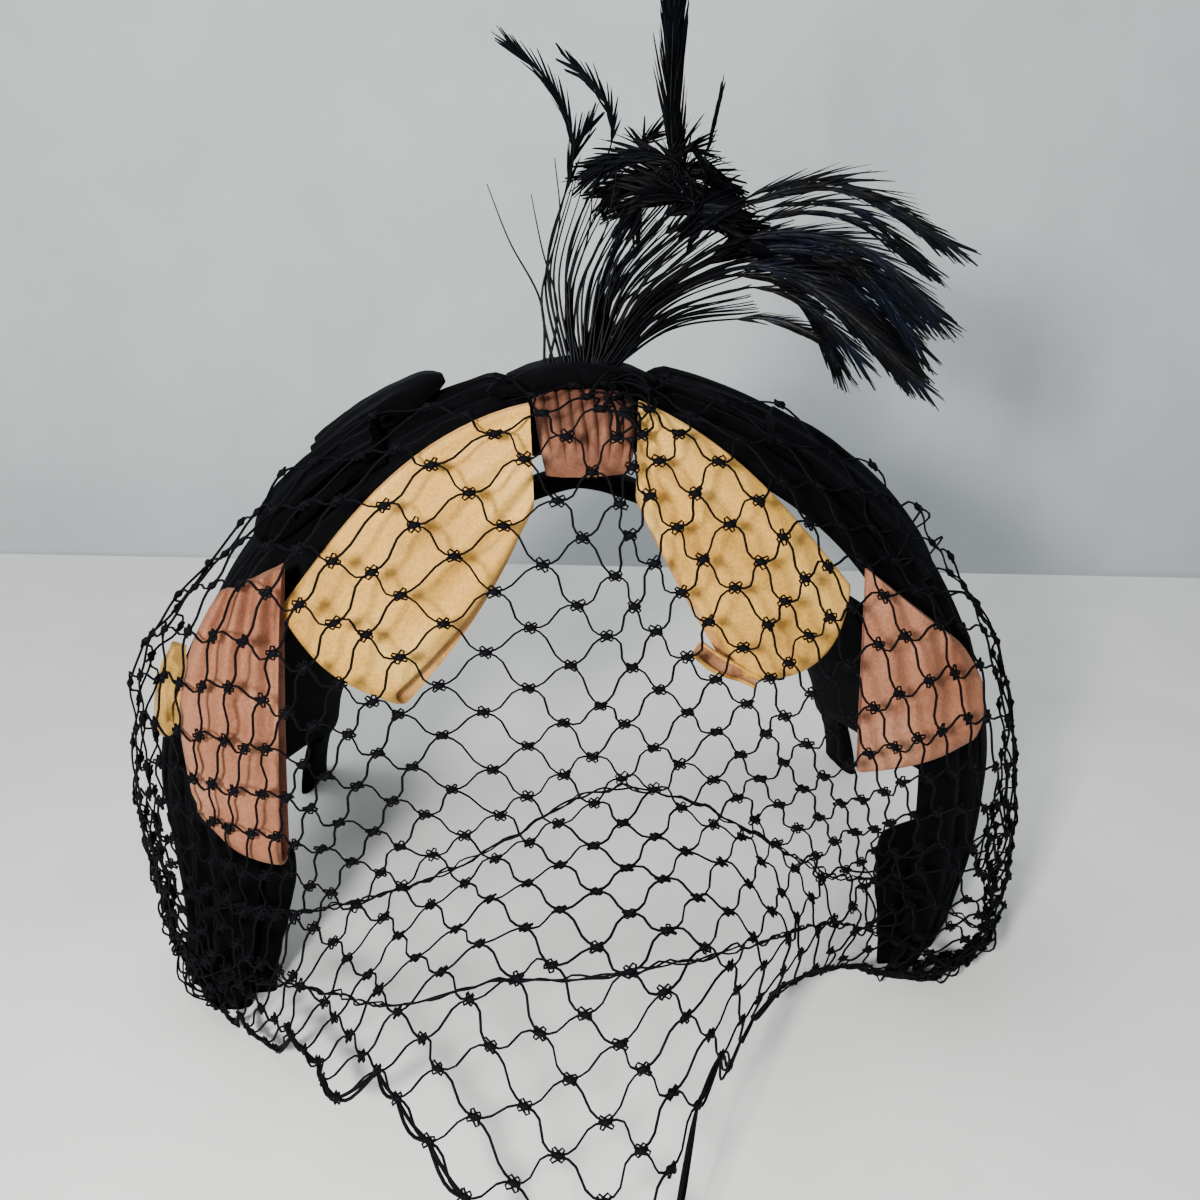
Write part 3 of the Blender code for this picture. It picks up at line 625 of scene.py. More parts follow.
# Lamps in metres and watts: place, target, size, power and colour
LAMPS = {
    "key": ((-0.13, -0.36, 0.25), (0, 0, 0.09), 0.05, 4.0, (1.0, 0.985, 0.96)),
    "fill": ((0.9, -0.8, 1.1), (0, 0, 0.08), 1.2, 3.0, (0.94, 0.97, 1.0)),
    "back": ((-0.4, 0.25, 1.2), (0, 0.6, 0.2), 0.9, 9.0, (0.95, 0.98, 1.0)),
}
SKY_COLOUR = (0.80, 0.86, 0.90, 1)
SKY_STRENGTH = 0.38


def camera():
    """The photo's view: close, from a little above, turned slightly to the hat's left."""
    made = bpy.data.objects.new("camera", bpy.data.cameras.new("camera"))
    bpy.context.scene.collection.objects.link(made)
    spot = CAMERA_SPOT.copy()
    spot.rotate(Euler((0, 0, CAMERA_YAW)))
    made.location = spot + Vector((0, 0, CAMERA_HEIGHT)) - FOOTPRINT_MIDDLE
    made.rotation_euler = (pi / 2 - CAMERA_PITCH, 0, CAMERA_YAW)
    made.data.sensor_width = FILM
    made.data.lens = FILM * FOCUS_SHARE
    made.data.clip_start = 0.01
    bpy.context.scene.camera = made


def area_light(name, spot, target, size, power, colour):
    """A soft square light aimed at a point."""
    data = bpy.data.lights.new(name, "AREA")
    data.size = size
    data.energy = power
    data.color = colour
    made = bpy.data.objects.new(name, data)
    bpy.context.scene.collection.objects.link(made)
    made.location = spot
    made.rotation_euler = (Vector(target) - Vector(spot)).to_track_quat("-Z", "Y").to_euler()


def stage():
    """A pale table with a pale cloth hanging behind it."""
    table = [(-1, -TABLE_HALF), (1, -TABLE_HALF), (1, TABLE_RIGHT), (-1, TABLE_LEFT)]
    cloth = [(-1, CLOTH_LOW), (1, CLOTH_LOW), (1, CLOTH_HIGH), (-1, CLOTH_HIGH)]
    for name, corners, colour in (
        ("table", [(x * TABLE_HALF, y, 0) for x, y in table], TABLE_COLOUR),
        ("backdrop", [(x * CLOTH_HALF, CLOTH, z) for x, z in cloth], CLOTH_COLOUR),
    ):
        mesh = bpy.data.meshes.new(name)
        mesh.from_pydata(corners, [], [(0, 1, 2, 3)])
        mesh.materials.append(plain_stage(name, colour))
        made = bpy.data.objects.new(name, mesh)
        bpy.context.scene.collection.objects.link(made)


def lights():
    """Soft light from the left of the camera, with a wide fill."""
    for name, lamp in LAMPS.items():
        area_light(name, *lamp)
    world = bpy.data.worlds.new("world")
    bpy.context.scene.world = world
    world.use_nodes = True
    sky = world.node_tree.nodes["Background"]
    sky.inputs["Color"].default_value = SKY_COLOUR
    sky.inputs["Strength"].default_value = SKY_STRENGTH


camera()
stage()
lights()


# Knot, ribbon loops, bows and turned ends


KNOT_PLEATS = 8
KNOT_SPREAD = 1.08
KNOT_WALL = 1.3 * MM
KNOT_PLEAT = 1.9 * MM
KNOT_PUFF = 1.0 * MM
KNOT_ROWS = 80
RIBBON = 1.2 * MM


def knot_loop(along, share, wall, pleat):
    """A closed loop of points round the band's section, raised by the knot's pleats."""
    def lift(turn):
        line = share + 0.025 * wobble(2.5 * turn, 4 * share, 3)
        return wall + pleat * (abs(sin(pi * KNOT_PLEATS * line)) ** 0.55 - 0.3)

    edge = (KNOT_CLEAR + 0.4 * MM + wall) / BAND_DEPTH
    top = [band_point(along, i / 20, KNOT_CLEAR + lift(i / 20)) for i in range(21)]
    bottom = [band_point(along, 1 - i / 8, -BAND_WALL - KNOT_CLEAR - wall) for i in range(9)]
    over, under = KNOT_CLEAR + lift(1), -BAND_WALL - KNOT_CLEAR - wall
    rear = [band_point(along, 1 + edge, over * 0.7), band_point(along, 1 + edge, under * 0.8)]
    over = KNOT_CLEAR + lift(0)
    front = [band_point(along, -edge, under * 0.8), band_point(along, -edge * 1.1, over * 0.3)]
    return top + rear + bottom + front + [band_point(along, -edge * 0.8, over * 0.85)]


def centre_knot():
    """The pink ribbon wrapped round the middle of the front arch, drawn into pleats; its darker pink
    is painted shade between the pleats.
    """
    half = KNOT_HALF / LENGTHS[-1]
    outer, inner = [], []
    for j in range(KNOT_ROWS + 1):
        share = j / KNOT_ROWS
        along = KNOT_MIDDLE + half * (2 * share - 1) * KNOT_SPREAD
        puff = KNOT_PUFF * sin(pi * share) ** 0.7
        outer.append(knot_loop(along, share, KNOT_WALL + puff, KNOT_PLEAT))
        inner.append(knot_loop(along, share, 0.0, 0.0))
    walls = wall(outer, inner, True)
    add_piece("knot", *walls, KNOT_VELVET_PAINTED_SHADE, "pink_velvet", "centre_knot", sharp=70)


def offset_loop(loop, distance):
    """A closed flat loop of (a, b) points moved outward by a distance, its turn being clockwise."""
    moved = []
    count = len(loop)
    for i in range(count):
        (xa, ya), (x, y), (xb, yb) = loop[i - 1], loop[i], loop[(i + 1) % count]
        first = Vector((ya - y, x - xa)).normalized()
        second = Vector((y - yb, xb - x)).normalized()
        both = (first + second).normalized()
        reach = distance / max(both.dot(first), 0.6)
        moved.append((x + both.x * reach, y + both.y * reach))
    return moved


PROFILE_STEPS = 18
TURN_STEPS = 9


def ribbon_profile(length, near, far, crown):
    """A ribbon loop seen along its width, with 1 for its front layer and -1 for its back one."""
    radius = far / 2
    straight = max(length - radius, length * 0.5)
    loop, layers = [], []
    for k in range(PROFILE_STEPS + 1):
        share = k / PROFILE_STEPS
        gap = mix(near, far, ease(share))
        loop.append((straight * share, gap / 2 + crown * sin(pi * share) * 0.6))
        layers.append(1.0)
    for k in range(1, TURN_STEPS):
        turn = pi / 2 - pi * k / TURN_STEPS
        loop.append((straight + radius * cos(turn), radius * sin(turn)))
        layers.append(sin(turn))
    for k in range(PROFILE_STEPS, -1, -1):
        share = k / PROFILE_STEPS
        loop.append((straight * share, -mix(near, far, ease(share)) / 2))
        layers.append(-1.0)
    return loop, layers


# Ribbon loops in millimetres: near upper, near lower, far upper and far lower corners; how far the
# turn, the upper edge and the lower edge bow out; how far the back layer shows past the front one;
# the height of the folds from the knot
LOOPS = {
    "gold_loop_left": (
        (-13.0, -4, 148), (-12.5, -5, 127), (-65, -4, 106), (-42, -7, 85),
        3.0, 6.5, 3.0, 2.4, 1.3,
    ),
    "gold_loop_right": (
        (9.6, -3, 148), (9.2, -4, 127), (55, -3, 108), (32, -5, 87),
        7.5, 4.0, 1.0, 1.8, 1.2,
    ),
    "pink_loop_left": (
        (-77, -6, 110), (-63, -7, 116), (-87, -6, 60), (-69, -8, 47),
        2, 5.5, -0.5, 0.5, 2.0,
    ),
    "pink_loop_right": (
        (57.5, -6, 112), (82, -3, 92), (59.5, -6, 64), (87, -3, 70),
        1, 0.0, 3.5, 0.8, 1.0,
    ),
}
LOOP_FINISH = {"gold": GOLD_VELVET, "pink": PINK_VELVET, "black": BLACK_VELVET}
LOOP_BACK = {"gold": GOLD_BACK, "pink": PINK_BACK_AND_PAINTED_SHADE}
RIBBON_ROWS = 36
LOOP_NEAR = 2.6 * MM
LOOP_FAR = 6 * MM
LOOP_CROWN = 1.5 * MM
LOOP_FOLDS = 3.2
LOOP_MOUTH = 0.42
LOOP_RIM = 0.03
LOOP_SOFT = 0.55 * MM


def ribbon_loop(name, row):
    """A hollow loop of soft ribbon, its edges bowed and its front layer creased from the knot."""
    near_up, near_low, far_up, far_low = [at(*p) for p in row[:4]]
    bow, bow_up, bow_low, rim, folds = [value * MM for value in row[4:]]
    seed = sum(row[0]) * 0.1
    wide = ((near_low - near_up).normalized() + (far_low - far_up).normalized()).normalized()
    outer, inner = [], []
    for j in range(RIBBON_ROWS + 1):
        share = j / RIBBON_ROWS
        start, end = mix(near_up, near_low, share), mix(far_up, far_low, share)
        bulge = sin(pi * share)
        direction = (end - start).normalized()
        back = Vector((0, 1, 0))
        away = (back - direction * back.dot(direction)).normalized()
        length = (end - start).length + bow * bulge
        base = start - away * LOOP_CROWN * bulge
        open_by = mix(LOOP_MOUTH, 1.0, ease(share * 1.5))
        gaps = (LOOP_NEAR * open_by, LOOP_FAR * open_by * (0.75 + 0.25 * bulge))
        flat, layers = ribbon_profile(length, *gaps, LOOP_CROWN)
        edge = min(1.0, min(share, 1 - share) / LOOP_RIM)
        thin = RIBBON / 2 * (0.45 + 0.55 * sqrt(edge))
        for grid, distance in ((outer, thin), (inner, -thin)):
            ring = []
            for (a, b), layer in zip(offset_loop(flat, distance), layers):
                reach = min(max(a / length, 0.0), 1.0)
                aside = bow_low * share**1.6 - bow_up * (1 - share) ** 1.6
                aside = aside * sin(pi * reach**0.85) - layer * rim * share**2 * reach
                crease = folds * (1 - reach) ** 1.2
                crease *= cos(tau * (LOOP_FOLDS * share + seed))
                soft = LOOP_SOFT * wobble(5 * reach + seed, 4 * share, layer)
                raised = b + (crease + soft) * max(layer, -0.35) * min(1, 5 * reach + 0.3)
                ring.append(base + direction * a - away * raised + wide * aside)
            grid.append(ring)
    colour = name.split("_")[0]
    walls = wall(outer, inner, True)
    made = ribbon_piece(name, colour, walls)
    line_inside(made, RIBBON_ROWS, len(outer[0]), LOOP_BACK[colour])


def ribbon_piece(name, colour, walls):
    """A loop of ribbon that takes the place of the solid of that name."""
    slot = colour + "_velvet"
    return add_piece(name + "_ribbon", *walls, LOOP_FINISH[colour], slot, name, sharp=60)


def line_inside(made, rows, width, finish):
    """The woven underside on the inner faces of a ring wall; the pink one is darkened further as
    painted shade inside the loop.
    """
    made.data.materials.append(finish)
    for j in range(rows):
        for i in range(width):
            made.data.polygons[2 * (j * width + i) + 1].material_index = 1


CORNER_LEFT = at(22.0, -8.4, 96.0)
CORNER_RIGHT = at(35.0, -8.2, 87.0)
CORNER_HALF = 2.2 * MM
CORNER_WALL = 0.55 * MM
CORNER_OPEN = radians(55)
CORNER_FACES = Vector((0, -1, 0.35))
CORNER_WAVE = 0.5 * MM
CORNER_ROWS = 14
CORNER_COLUMNS = 18


def turned_corner():
    """The small turned hem under the right gold loop, open to the front on its woven underside."""
    axis = (CORNER_RIGHT - CORNER_LEFT).normalized()
    front = (CORNER_FACES - axis * CORNER_FACES.dot(axis)).normalized()
    side = axis.cross(front)
    steps = [i / CORNER_COLUMNS for i in range(CORNER_COLUMNS + 1)]
    turns = [mix(CORNER_OPEN, tau - CORNER_OPEN, step) for step in steps]
    grids = ([], [])
    for j in range(CORNER_ROWS + 1):
        share = j / CORNER_ROWS
        middle = mix(CORNER_LEFT, CORNER_RIGHT, share) + side * CORNER_WAVE * sin(5 * share)
        girth = CORNER_HALF * (0.7 + 0.3 * sin(pi * min(1.0, share + 0.2)))
        for grid, half in zip(grids, (girth, girth - CORNER_WALL)):
            grid.append(arc(middle, front, side, half, turns))
    made = add_piece("gold_loop_right_hem", *wall(*grids), GOLD_VELVET, "gold_velvet", sharp=60)
    made.data.materials.append(HEM_BACK)
    for face in range(CORNER_ROWS * CORNER_COLUMNS):
        made.data.polygons[open_face(face, CORNER_COLUMNS)].material_index = 1


def open_face(face, columns):
    """The number of an inner face of an open wall, whose rows also hold two edge faces."""
    row, column = divmod(face, columns)
    return row * (2 * columns + 2) + 2 * column + 1


# Loops that lie on the band. Near end, then far end: along the band, across it from front to rear,
# and the lift of the lower layer above its face. Last the gap between the layers. Lengths in mm
BAND_LOOPS = {
    "gold_loop_outer_left": ((0.208, 0.38, 0.70, 2.6), (0.162, 0.38, 0.70, 2.6), 1.8),
    "black_bow_right": ((0.600, 0.16, 0.50, 2.5), (0.725, 0.12, 0.50, 2.5), 1.6),
    "black_bow_left_lower": ((0.385, 0.20, 0.47, 2.6), (0.304, 0.20, 0.47, 3.4), 4.2),
    "black_bow_left_upper": ((0.348, 0.50, 0.88, 2.2), (0.424, 0.54, 0.90, 2.8), 3.8),
}
LOOP_STEPS = 30
LOOP_ROWS = 18
LOOP_PUFF = 0.8 * MM
LOOP_ROUND = 0.3
LOOP_TURN = 5.3
LOOP_LONG = 45 * MM


def band_loop_ring(near, far, share, gap, grow):
    """One closed row of points of a loop on the band: over its top layer and back under."""
    over, under = [], []
    for k in range(LOOP_STEPS + 1):
        way = k / LOOP_STEPS
        reach = mix(-grow / LOOP_LONG, 1 + grow / LOOP_LONG, way)
        reach *= 1 - LOOP_ROUND * (1 - round_off(2 * share))
        along = mix(near[0], far[0], reach)
        across = mix(mix(near[1], near[2], share), mix(far[1], far[2], share), reach)
        lift = mix(near[3], far[3], reach) * MM
        left = (1 - way) * LOOP_TURN
        round_end = round_off(left) if left < 1 else 1.0
        half = (gap * MM / 2) * max(round_end, 0.2) + grow
        middle = lift + gap * MM / 2 + LOOP_PUFF * sin(pi * way)
        crease = 0.5 * MM * (1 - way) * cos(14 * share)
        crease += 0.4 * MM * wobble(6 * way, 4 * share, gap)
        over.append(band_point(along, across, middle + half + max(crease, -0.3 * MM)))
        under.append(band_point(along, across, middle - half))
    return over + under[::-1]


def band_loops():
    """Flat loops that follow the curve of the band, among them the black bows."""
    for name, (near, far, gap) in BAND_LOOPS.items():
        colour = name.split("_")[0]
        grids = [
            [band_loop_ring(near, far, j / LOOP_ROWS, gap, grow) for j in range(LOOP_ROWS + 1)]
            for grow in (RIBBON / 2, -RIBBON / 2)
        ]
        made = ribbon_piece(name, colour, wall(*grids, True))
        if colour == "gold":
            line_inside(made, LOOP_ROWS, len(grids[0][0]), GOLD_BACK)


END_TABS = {
    "end_tab_left": (-1, 46, 77, 69),
    "end_tab_right": (1, 40, 72.5, 69.5),
}
TAB_CLEAR = 0.9 * MM
TAB_MIDDLE = 10.5
TAB_HALF = 4.5
TAB_SLOPE = 0.82
TAB_ROUGH = 0.7 * MM
TAB_ROWS = 26
TAB_SIDES = 32
TAB_CROWN = [(0.97, 0.3), (0.86, 0.75), (0.6, 1.05), (0.25, 1.2)]


def band_inner_x(side, height, deep):
    """How far out the band's inner face is at a height and a depth, on one side."""
    run = height / LENGTHS[-1]
    along = 1 - run if side > 0 else run

    def inner(across):
        return band_point(along, across, -BAND_WALL)

    return abs(inner(turning_point(lambda across: inner(across).y < deep, 0.0, 0.9, 20)).x)


def squared(value):
    """A rounded square's coordinate for a sine or cosine."""
    return copysign(abs(value) ** 0.45, value)


def tab_ring(row, share):
    """One level of a turned end: a rounded bar between the band's wall and its own inner face."""
    side, tall, low, high = row
    height = tall * MM * share
    reach = mix(low, high, ease(share)) * MM
    widest = band_inner_x(side, height, (TAB_MIDDLE + TAB_HALF) * MM) - TAB_CLEAR
    fall = (1 - TAB_SLOPE) / (widest - reach)
    ring = []
    for i in range(TAB_SIDES):
        angle = tau * i / TAB_SIDES
        deep = TAB_MIDDLE + TAB_HALF * squared(cos(angle))
        far = band_inner_x(side, height, deep * MM) - TAB_CLEAR
        near = reach + 0.4 * (deep - TAB_MIDDLE + TAB_HALF) * MM
        rough = TAB_ROUGH * wobble(share * 5, angle, side) * min(1, share * 4)
        x = mix(near, far, 0.5 + 0.5 * squared(sin(angle)) * 0.96) - abs(rough)
        ring.append(Vector((side * x, deep * MM, height * (1 - fall * (widest - x)))))
    return ring


def end_tabs():
    """The turned-up velvet ends inside the two feet of the front arch."""
    for name, row in END_TABS.items():
        rings = [tab_ring(row, k / TAB_ROWS) for k in range(TAB_ROWS + 1)]
        top = rings[-1]
        middle = sum(top, Vector()) / len(top)
        for keep, rise in TAB_CROWN:
            rings.append([middle + (p - middle) * keep + Vector((0, 0, rise * MM)) for p in top])
        shape = solid_sweep(rings)
        add_piece(name + "_velvet", *shape, BLACK_VELVET, "black_velvet", name, sharp=70)


# Feathers in millimetres, left to right and top to bottom: x and z where the barbs begin, half way
# along them and at the tip; the tip's depth; how long the barbs are, how far they spread as a share
# of that, and how full they are; and how many such feathers lie one behind the other
CLUSTER = [
    (-2, 194, -6, 206, -15, 215, 30, 8, 0.22, 0.9, 1),
    (6, 196, 5, 204, -4, 213, 33, 6, 0.28, 0.85, 1),
    (-4, 186, -2, 193, 2, 200, 27, 8, 0.24, 0.8, 1),
    (18, 184, 18, 203, 19, 240, 28, 15, 0.19, 1.0, 2),
    (25, 192, 28, 200, 30, 207, 34, 5, 0.10, 0.9, 1),
    (20, 191, 12, 194, 1, 191, 26, 8, 0.34, 1.0, 2),
    (17, 190, 12, 195, 16, 198, 30, 7, 0.36, 0.8, 1),
    (16, 191, 22, 195, 27, 190, 27, 8, 0.30, 0.9, 2),
    (17, 189, 25, 190, 32, 186, 29, 8, 0.34, 1.0, 3),
    (25, 185, 15, 188, 8, 182, 25, 9, 0.42, 1.0, 3),
    (23, 188, 13, 190, 6, 186, 31, 9, 0.42, 1.0, 2),
    (17, 182, 24, 185, 31, 184, 26, 9, 0.40, 1.0, 3),
    (20, 178, 27, 181, 37, 178, 30, 10, 0.36, 1.0, 3),
    (27, 173, 35, 177, 48, 174, 28, 11, 0.30, 1.0, 3),
]
SWEEP = [
    (34, 185, 55, 188, 79, 175, 27, 13, 0.16, 0.85, 2),
    (37, 182, 57, 183, 79, 169, 33, 12, 0.15, 0.8, 2),
    (34, 177, 57, 176, 79, 160, 25, 14, 0.17, 1.0, 3),
    (34, 174, 57, 172, 77, 152, 30, 14, 0.17, 1.0, 3),
    (34, 172, 54, 170, 77, 147, 34, 14, 0.17, 1.0, 3),
    (33, 171, 50, 168, 72, 147, 27, 14, 0.18, 1.0, 3),
    (33, 169, 47, 166, 58, 149, 31, 13, 0.18, 1.0, 2),
    (36, 167, 48, 163, 63, 149, 24, 12, 0.18, 0.9, 1),
    (33, 160, 43, 159, 53, 155, 28, 8, 0.20, 0.8, 1),
]
BARE_TIPS = [(-20, 188), (-11, 186), (-6, 193), (2, 190), (7, 192)]
BARE_ROOT = (-3, 151)
BARE_BEND = (0.75, 0.7)
BARE_DEPTH = 24
PLAIN_DEPTH = (20, 34)
# Places, x and z, where the plain stems run into the barbs
STEM_ENDS = [(-3, 189), (8, 185), (17, 180), (25, 177), (34, 174), (36, 165), (38, 161)]
PLUME_SEED = 11
PLUME_DEPTH = 17
PLAIN_STEMS = 60
STEM_HALF = 0.36 * MM
STEM_POINTS = 26
STEM_ARCH = 0.11
STEM_SIDES = 5
PLUME_LEFT = 10
PLUME_RIGHT = 34
PLUME_ROOT = Vector((-3.0, 15.5, 150.6)) * MM
PLUME_SPREAD = Vector((8.5, 2.6, 0.0)) * MM
LAYER_SHIFT = 3.0
BARB_STEP = 0.31 * MM
BARB_HALF = 0.17 * MM
BARB_PARTS = (0.0, 0.3, 0.68, 1.0)
BARB_CLUMP = 10
BARB_GATHER = 0.45
# The bound quills: height over the root in millimetres and share of the full girth
QUILL_ROWS = [(-2.6, 0.80), (-1.8, 0.95), (-0.2, 1.0), (1.2, 0.92), (2.1, 0.65), (2.5, 0.15)]
QUILL_MIDDLE = Vector((-2.0, 17.5, 150.6)) * MM
QUILL_SIDES = 60
QUILL_RIDGES = 15
QUILL_RIDGE = 0.05
QUILL_WIDE = 19 * MM
QUILL_DEEP = 9 * MM
QUILL_FALL = 4.2 * MM


class Heap:
    """Points and faces of many small closed shapes that become one piece."""

    def __init__(self):
        self.points = []
        self.faces = []

    def add(self, points, faces):
        first = len(self.points)
        self.points += points
        self.faces += [tuple(first + v for v in face) for face in faces]

    def tube(self, path, halves, sides):
        """A closed tube along points, with a half thickness at each."""
        rings = []
        across = None
        for k, point in enumerate(path):
            ahead = (path[min(k + 1, len(path) - 1)] - path[max(k - 1, 0)]).normalized()
            start = across if across else Vector((0.31, 0.87, 0.37))
            across = (start - ahead * start.dot(ahead)).normalized()
            rings.append(circle(point, across, ahead.cross(across), halves[k], sides))
        self.add(*solid_sweep(rings))

    def ring(self, path, half, sides):
        """A closed ring of thread through points."""
        count = len(path)
        points, faces = [], []
        for k, point in enumerate(path):
            ahead = (path[(k + 1) % count] - path[k - 1]).normalized()
            start = (point - sum(path, Vector()) / count).normalized()
            across = (start - ahead * start.dot(ahead)).normalized()
            points += circle(point, across, ahead.cross(across), half, sides)
        for k in range(count):
            for i in range(sides):
                a, b = k * sides + i, k * sides + (i + 1) % sides
                c, d = (a + sides) % (count * sides), (b + sides) % (count * sides)
                faces.append((a, b, d, c))
        self.add(points, faces)


def smooth_path(places, count):
    """Evenly shared points on a smooth curve through places."""
    lengths = run_lengths(places)
    rows = [(long / lengths[-1], *place) for long, place in zip(lengths, places)]
    return [Vector(through(rows, k / (count - 1))) for k in range(count)]


def barbs(heap, spots, blade_from, long, spread, fullness, draw):
    """The barbs on both sides of a quill, swept to its tip and drawn into pointed locks."""
    count = int(run_lengths(spots)[-1] * (1 - blade_from) / BARB_STEP)
    for side in (-1, 1):
        for n in range(count):
            if n % BARB_CLUMP == 0:
                aside = spread * draw.uniform(0.85, 1.15)
                keep = draw.random() < fullness
                stretch = draw.uniform(0.9, 1.1)
                tilt = draw.uniform(-0.6, 0.6)
                droop = draw.uniform(0.0, 0.07)
            if not keep:
                continue
            share = (n + 0.5) / count
            t = (blade_from + (1 - blade_from) * share) * (len(spots) - 1)
            k = min(int(t), len(spots) - 2)
            root = mix(spots[k], spots[k + 1], t - k)
            ahead = (spots[k + 1] - spots[k]).normalized()
            flat = ahead.cross(Vector((0, 1, 0))).normalized()
            deep = flat.cross(ahead).normalized()
            reach = long * MM * min(1.0, 0.55 + 1.6 * share) * (1 - 0.5 * share**4) * stretch
            gather = (n % BARB_CLUMP - (BARB_CLUMP - 1) / 2) * BARB_STEP * BARB_GATHER
            out = (flat * side + deep * tilt).normalized()
            path, halves = [], []
            for part in BARB_PARTS:
                sweep = out * reach * aside * part**0.8 + ahead * (reach - gather) * part
                path.append(root + sweep - Vector((0, 0, reach * droop * part**2)))
                halves.append(BARB_HALF * (1 - 0.8 * part**2))
            heap.tube(path, halves, 3)


def quill(heap, ends, depth, draw):
    """One stem from the bound bundle, arched, through the places given as x and z; its points."""
    start = ends[0][0]
    lean = max(-1.0, min(1.0, start / (PLUME_RIGHT if start > 0 else PLUME_LEFT)))
    aside = PLUME_SPREAD.x * (0.75 * lean + draw.uniform(-0.25, 0.25))
    root = PLUME_ROOT + Vector((aside, PLUME_SPREAD.y * draw.uniform(-1, 1), 0))
    first = at(ends[0][0], mix(PLUME_DEPTH, depth, 0.6), ends[0][1])
    run = first - root
    arch = Vector((-run.z, 0, run.x)) * copysign(STEM_ARCH, run.x)
    places = [root, mix(root, first, 0.5) + arch, first]
    for k, (x, z) in enumerate(ends[1:]):
        places.append(at(x, mix(PLUME_DEPTH, depth, 0.8 + 0.2 * k), z))
    spots = smooth_path(places, STEM_POINTS)
    last = STEM_POINTS - 1
    heap.tube(spots, [STEM_HALF * (1 - 0.7 * k / last) for k in range(STEM_POINTS)], STEM_SIDES)
    lengths = run_lengths(places)
    return spots, lengths[2] / lengths[-1]


def feather_group(name, rows, finish, stems, draw, node=None):
    """The barbs of a group of feathers as one piece; their stems join the heap of stems."""
    heap = Heap()
    for *spots_xz, depth, long, spread, fullness, layers in rows:
        for layer in range(layers):
            shift = LAYER_SHIFT * layer
            ends = [
                (x + shift * draw.uniform(-0.5, 0.5), z + shift * draw.uniform(-0.8, 0.1))
                for x, z in zip(spots_xz[::2], spots_xz[1::2])
            ]
            spots, blade_from = quill(stems, ends, depth + shift * draw.uniform(-1.2, 1.8), draw)
            barbs(heap, spots, blade_from, long, spread, fullness, draw)
    add_piece(name, heap.points, heap.faces, finish, "feather", node, sharp=None)


def plume():
    """A spray of thin quills, some bare and some with black barbs, out of one bound bundle."""
    draw = random.Random(PLUME_SEED)
    stems = Heap()
    rings = []
    for rise, girth in QUILL_ROWS:
        ring = []
        for i in range(QUILL_SIDES):
            angle = tau * i / QUILL_SIDES
            grow = girth * (1 + QUILL_RIDGE * cos(QUILL_RIDGES * angle))
            x, y = cos(angle) * grow, sin(angle) * grow
            off = Vector((x * QUILL_WIDE, y * QUILL_DEEP, rise * MM - QUILL_FALL * x**2))
            ring.append(QUILL_MIDDLE + off)
        rings.append(ring)
    stems.add(*solid_sweep(rings))
    binding = len(stems.faces)
    feather_group("plume_feathers", CLUSTER, FEATHER, stems, draw, "plume")
    feather_group("plume_sweep", SWEEP, FEATHER_GLOSS, stems, draw)
    for x, z in BARE_TIPS:
        first = (mix(BARE_ROOT[0], x, BARE_BEND[0]), mix(BARE_ROOT[1], z, BARE_BEND[1]))
        quill(stems, [first, (x, z)], BARE_DEPTH, draw)
    for n in range(PLAIN_STEMS):
        way = (n + draw.uniform(0.1, 0.9)) / PLAIN_STEMS * (len(STEM_ENDS) - 1)
        k = int(way)
        x, z = [mix(a, b, way - k) for a, b in zip(STEM_ENDS[k], STEM_ENDS[k + 1])]
        quill(stems, [(x, z)], draw.uniform(*PLAIN_DEPTH), draw)
    made = add_piece("plume_stems", stems.points, stems.faces, FEATHER, "feather", sharp=None)
    made.data.materials.append(BLACK_VELVET)
    for face in range(binding):
        made.data.polygons[face].material_index = 1


# Birdcage net


